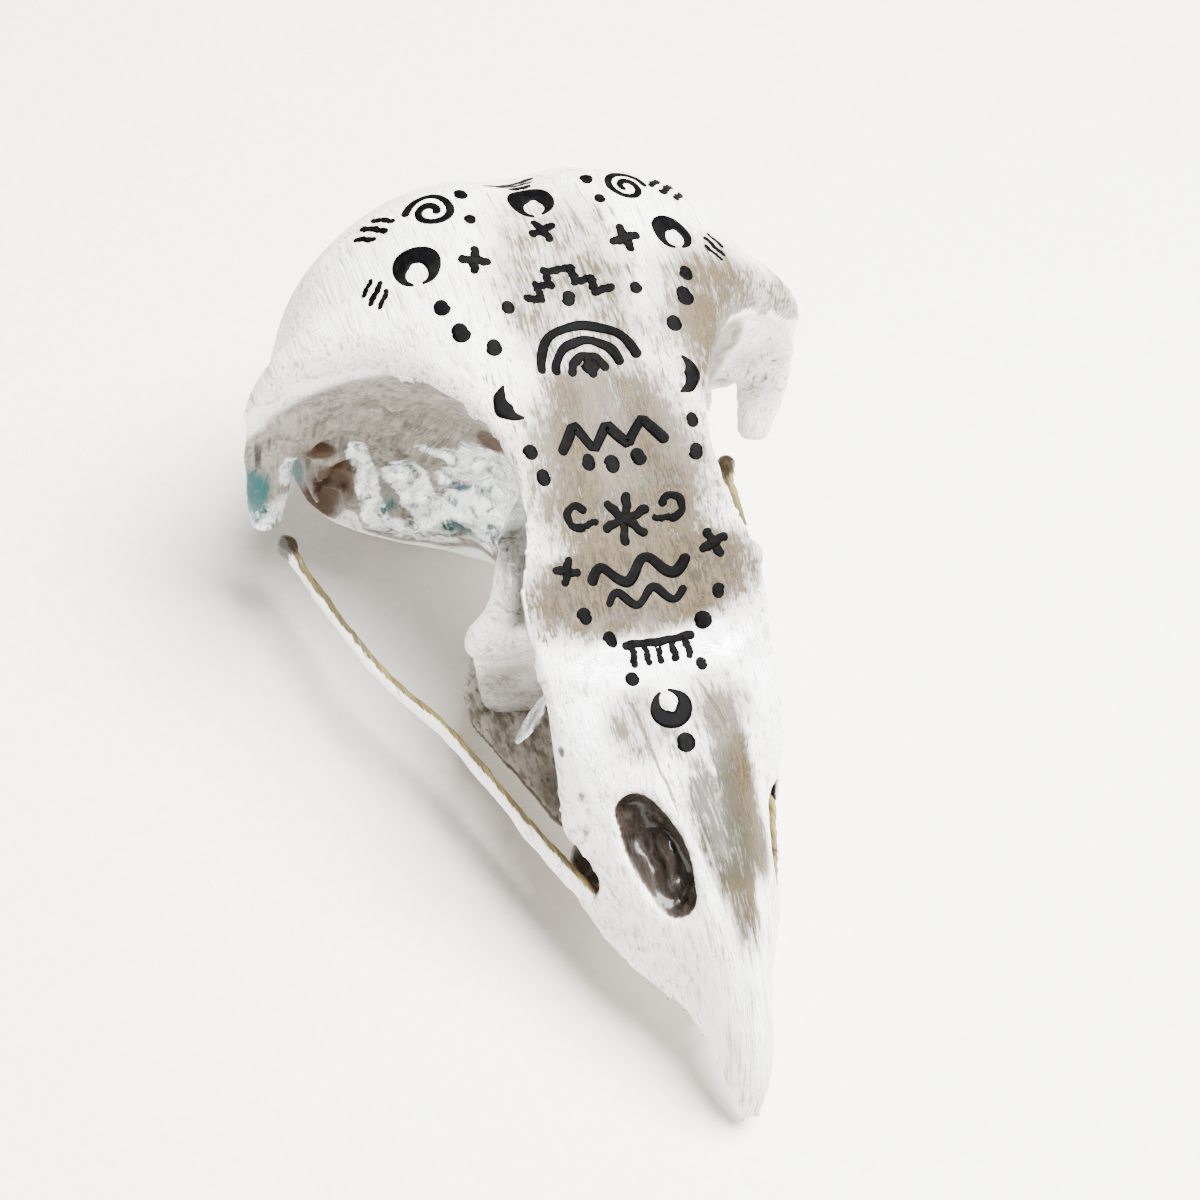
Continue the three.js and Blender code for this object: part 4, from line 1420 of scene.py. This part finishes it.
@dataclass(frozen=True)
class InkDrawing:
    """The black drawing over the crown, the forehead and the beak's base."""

    rise: float = 0.035
    depth: float = 0.08
    step: float = 0.16
    above: float = 60
    lift: float = 4
    marks: tuple[Mark, ...] = (
        Mark(Motif.BARS, (0.2, 27.6)), Mark(Motif.CRESCENT, (0.1, 24.4), 90, 0.9),
        Mark(Motif.PLUS, (0, 21.6), 12, 0.8), Mark(Motif.STEPS, (0, 18.1), 0, 0.95),
        Mark(Motif.DOT, (0, 16.4)), Mark(Motif.ARCS, (0, 11.8), 0, 1.0),
        Mark(Motif.OVAL, (0, 12.0), 0, 0.8), Mark(Motif.ZIGZAG, (0, 8.0), 0, 0.95),
        Mark(Motif.DOT, (-1.7, 6.3)), Mark(Motif.DOT, (0, 6.0), 0, 1.1), Mark(Motif.DOT, (1.7, 6.3)),
        Mark(Motif.STAR, (0, 3.2), 8, 1.25), Mark(Motif.HOOK, (3.3, 3.4), -20, 0.9, True),
        Mark(Motif.WAVE, (0, 0.6)), Mark(Motif.WAVE, (0, -0.9), 0, 0.8),
        Mark(Motif.COMB, (0, -4.3), 0, 0.95), Mark(Motif.CRESCENT, (-0.2, -7.6), -80, 0.85),
        Mark(Motif.DOT, (-0.2, -10.1), 0, 1.05), Mark(Motif.SPIRAL, (6.9, 24.2), 0, 0.95, True),
        Mark(Motif.DOT, (4.4, 25.4), 0, 0.9, True), Mark(Motif.DOT, (4.6, 22.9), 0, 0.8, True),
        Mark(Motif.HATCH, (10.3, 24.6), -25, 1.0, True), Mark(Motif.CRESCENT, (8.9, 20.0), 100, 0.95, True),
        Mark(Motif.PLUS, (5.2, 19.6), 10, 0.85, True), Mark(Motif.HATCH, (11.6, 19.7), 60, 0.8, True),
        Mark(Motif.DOT, (8.6, 16.9), 0, 1.0, True), Mark(Motif.DOT, (7.5, 15.0), 0, 1.15, True),
        Mark(Motif.DOT, (6.2, 13.4), 0, 0.95, True), Mark(Motif.DOT, (4.4, 16.0), 0, 0.8, True),
        Mark(Motif.BOW, (5.3, 10.3), 70, 0.7, True), Mark(Motif.DOT, (5.4, 7.2), 0, 0.9, True),
        Mark(Motif.DOT, (5.3, 5.4), 0, 1.0, True), Mark(Motif.PLUS, (4.9, 0.5), 20, 0.75, True),
        Mark(Motif.DOT, (4.6, -1.9), 0, 0.9, True), Mark(Motif.DOT, (3.2, -3.2), 0, 1.0, True),
        Mark(Motif.DOT, (2.4, -5.6), 0, 0.8, True),
    )

    def build(self, skull: Object) -> Object:
        """Draws every mark on the skull.

        Args:
            skull: The painted skull, in millimetres.

        Returns:
            The drawing as one thin relief.
        """
        tree = ray_tree(skull.data)
        strokes = []
        for number, mark in enumerate(self.marks):
            for side in SIDES if mark.paired else (1,):
                hand = np.random.default_rng(100 + 2 * number + side)
                spot = np.array(mark.at) * (side, 1) + hand.normal(0, 0.12, 2)
                turn = mark.turn * side + hand.normal(0, 4)
                size = mark.scale * hand.uniform(0.93, 1.07)
                for stroke in mark.motif.value:
                    strokes.append(self.draw(stroke, spot, turn, (size * side, size), tree, hand))
        join(strokes[0], strokes[1:])
        strokes[0].name = "ink_drawing"
        return strokes[0]

    def draw(self, stroke: Stroke, spot: np.ndarray, turn: float, size: Pair, tree: BVHTree,
             hand: np.random.Generator) -> Object:
        """Draws one stroke as a ribbon that lies on the skull.

        Args:
            stroke: The stroke.
            spot: Where the motif's middle is, across and along.
            turn: The motif's turn in degrees.
            size: Its scale each way.
            tree: The skull's surface.
            hand: The unsteady hand.

        Returns:
            The ribbon.
        """
        steps = max(14, int(stroke.length() * abs(size[1]) / self.step) + 10)
        made = bmesh.new()
        bmesh.ops.create_grid(made, x_segments=steps, y_segments=4, size=1)
        flat = np.array([v.co[:2] for v in made.verts])
        flat /= np.abs(flat).max(axis=0)
        c, s = math.cos(math.radians(turn)), math.sin(math.radians(turn))
        sheet = (self.ribbon(stroke, flat, hand) * size) @ np.array([[c, s], [-s, c]])
        centre, facing, _, _ = tree.ray_cast(Vector((*spot, self.above)), Vector((0, 0, -1)))
        across = Vector((1, 0, 0)) - facing * facing.x
        across.normalize()
        along = facing.cross(across)
        for vertex, (a, b) in zip(made.verts, sheet):
            start = centre + across * a + along * b + facing * self.lift
            hit = tree.ray_cast(start, -facing, 3 * self.lift)[0]
            vertex.co = (hit or start - facing * self.lift) + facing * self.rise
        grown = bmesh.ops.extrude_face_region(made, geom=made.faces[:])["geom"]
        lower = [item for item in grown if isinstance(item, bmesh.types.BMVert)]
        bmesh.ops.translate(made, vec=-facing * self.depth, verts=lower)
        made.normal_update()
        bmesh.ops.recalc_face_normals(made, faces=made.faces)
        return object_of("stroke", made)

    @staticmethod
    def ribbon(stroke: Stroke, flat: np.ndarray, hand: np.random.Generator) -> np.ndarray:
        """Shapes a flat grid into a stroke with round ends on its motif's sheet.

        Args:
            stroke: The stroke.
            flat: The grid's vertices, from -1 to 1 along and across.
            hand: The unsteady hand.

        Returns:
            The vertices on the sheet, in millimetres.
        """

        def waver(waves: float) -> np.ndarray:
            return np.sin(share * waves + hand.uniform(0, 6))

        length, cap = stroke.length(), stroke.width / 2
        even = (flat[:, 0] + 1) / 2
        u = (1 - np.cos((flat[:, 0] + 1) * math.pi / 2)) / 2 * 0.5 + even * 0.5
        reach = u * (length + 2 * cap) - cap
        inside = np.clip(reach, 0, length)
        beyond = reach - inside
        share = inside / length
        ahead = stroke.line(np.clip(share + 0.01, 0, 1)) - stroke.line(np.clip(share - 0.01, 0, 1))
        ahead /= np.linalg.norm(ahead, axis=1, keepdims=True)
        beside = np.column_stack([-ahead[:, 1], ahead[:, 0]])
        half = cap + stroke.swell / 2 * np.sin(share * math.pi) ** 1.2
        half *= np.sqrt(np.clip(1 - (beyond / cap) ** 2, 0.02, 1)) * (1 + 0.1 * waver(14))
        wobble = 0.04 * waver(9) + 0.03 * waver(23)
        return stroke.line(share) + ahead * beyond[:, None] + beside * (half * flat[:, 1] + wobble)[:, None]


# The stage


@dataclass(frozen=True)
class Lamp:
    """A soft light, so wide and so high, that faces the skull."""

    name: str
    at: Triple
    size: Pair
    power: float
    aim: Triple = (0, 0, 0.012)

    def hang(self) -> None:
        """Hangs the light in the scene."""
        light = bpy.data.lights.new(self.name, "AREA")
        light.shape = "ELLIPSE"
        light.size, light.size_y = self.size
        light.energy = self.power
        holder = bpy.data.objects.new(self.name, light)
        holder.location = self.at
        holder.rotation_euler = (Vector(self.aim) - Vector(self.at)).to_track_quat("-Z", "Y").to_euler()
        bpy.context.scene.collection.objects.link(holder)


@dataclass(frozen=True)
class Studio:
    """The pale floor, the soft light and the camera."""

    floor_half: float = 0.6
    lamps: tuple[Lamp, ...] = (
        Lamp("key", (0.09, -0.03, 0.30), (0.24, 0.24), 9.0),
        Lamp("fill", (-0.30, -0.20, 0.055), (0.3, 0.09), 0.5),
    )
    sky: Colour = (1, 0.975, 0.94)
    sky_strength: float = 0.2
    camera_at: Triple = (-0.0449, -0.0790, 0.1190)
    azimuth: float = -31.2
    elevation: float = 50.3
    roll: float = 12.9
    lens: float = 61.65
    shift: Pair = (-0.0192, 0.0442)

    def build(self) -> None:
        """Sets the floor, the lights and the camera."""
        self.floor()
        for lamp in self.lamps:
            lamp.hang()
        world = bpy.data.worlds.new("studio")
        world.use_nodes = True
        plug(world.node_tree, world.node_tree.nodes["Background"], {0: (*self.sky, 1), 1: self.sky_strength})
        bpy.context.scene.world = world
        self.camera()

    def floor(self) -> None:
        """Lays the pale floor under the skull."""
        made = bmesh.new()
        bmesh.ops.create_grid(made, x_segments=1, y_segments=1, size=self.floor_half)
        card = object_of("floor", made)
        card.data.materials.append(FloorCard().material())

    def camera(self) -> None:
        """Sets the camera where the picture was taken from."""
        a, e, r = (math.radians(v) for v in (self.azimuth, self.elevation, self.roll))
        back = Vector((math.sin(a) * math.cos(e), -math.cos(a) * math.cos(e), math.sin(e)))
        level = Vector((math.cos(a), math.sin(a), 0))
        up = back.cross(level)
        right = level * math.cos(r) + up * math.sin(r)
        top = up * math.cos(r) - level * math.sin(r)
        lens = bpy.data.cameras.new("camera")
        lens.lens = self.lens
        lens.sensor_width = 36
        lens.shift_x, lens.shift_y = self.shift
        lens.clip_start = 0.01
        view = bpy.data.objects.new("camera", lens)
        turn = Matrix((right, top, back)).transposed().to_4x4()
        view.matrix_world = Matrix.Translation(self.camera_at) @ turn
        bpy.context.scene.collection.objects.link(view)
        bpy.context.scene.camera = view


def main() -> None:
    """Builds the skull, its drawing and the stage."""
    logging.basicConfig(level=logging.INFO, format="%(message)s")
    skull = Cranium().build()
    drawing = InkDrawing().build(skull)
    finish_piece(drawing, BlackInk(), ())
    finish_piece(skull, PaintedBone(), (
        "upper_beak", "forehead", "braincase", "orbital_septum", "ectethmoid_left", "ectethmoid_right",
        "postorbital_process_left", "postorbital_process_right"))
    for bone in SLENDER_BONES:
        for side, word in ((1, "left"), (-1, "right")):
            bone.finish_side(side, word)
    Studio().build()


if __name__ == "__main__":
    main()
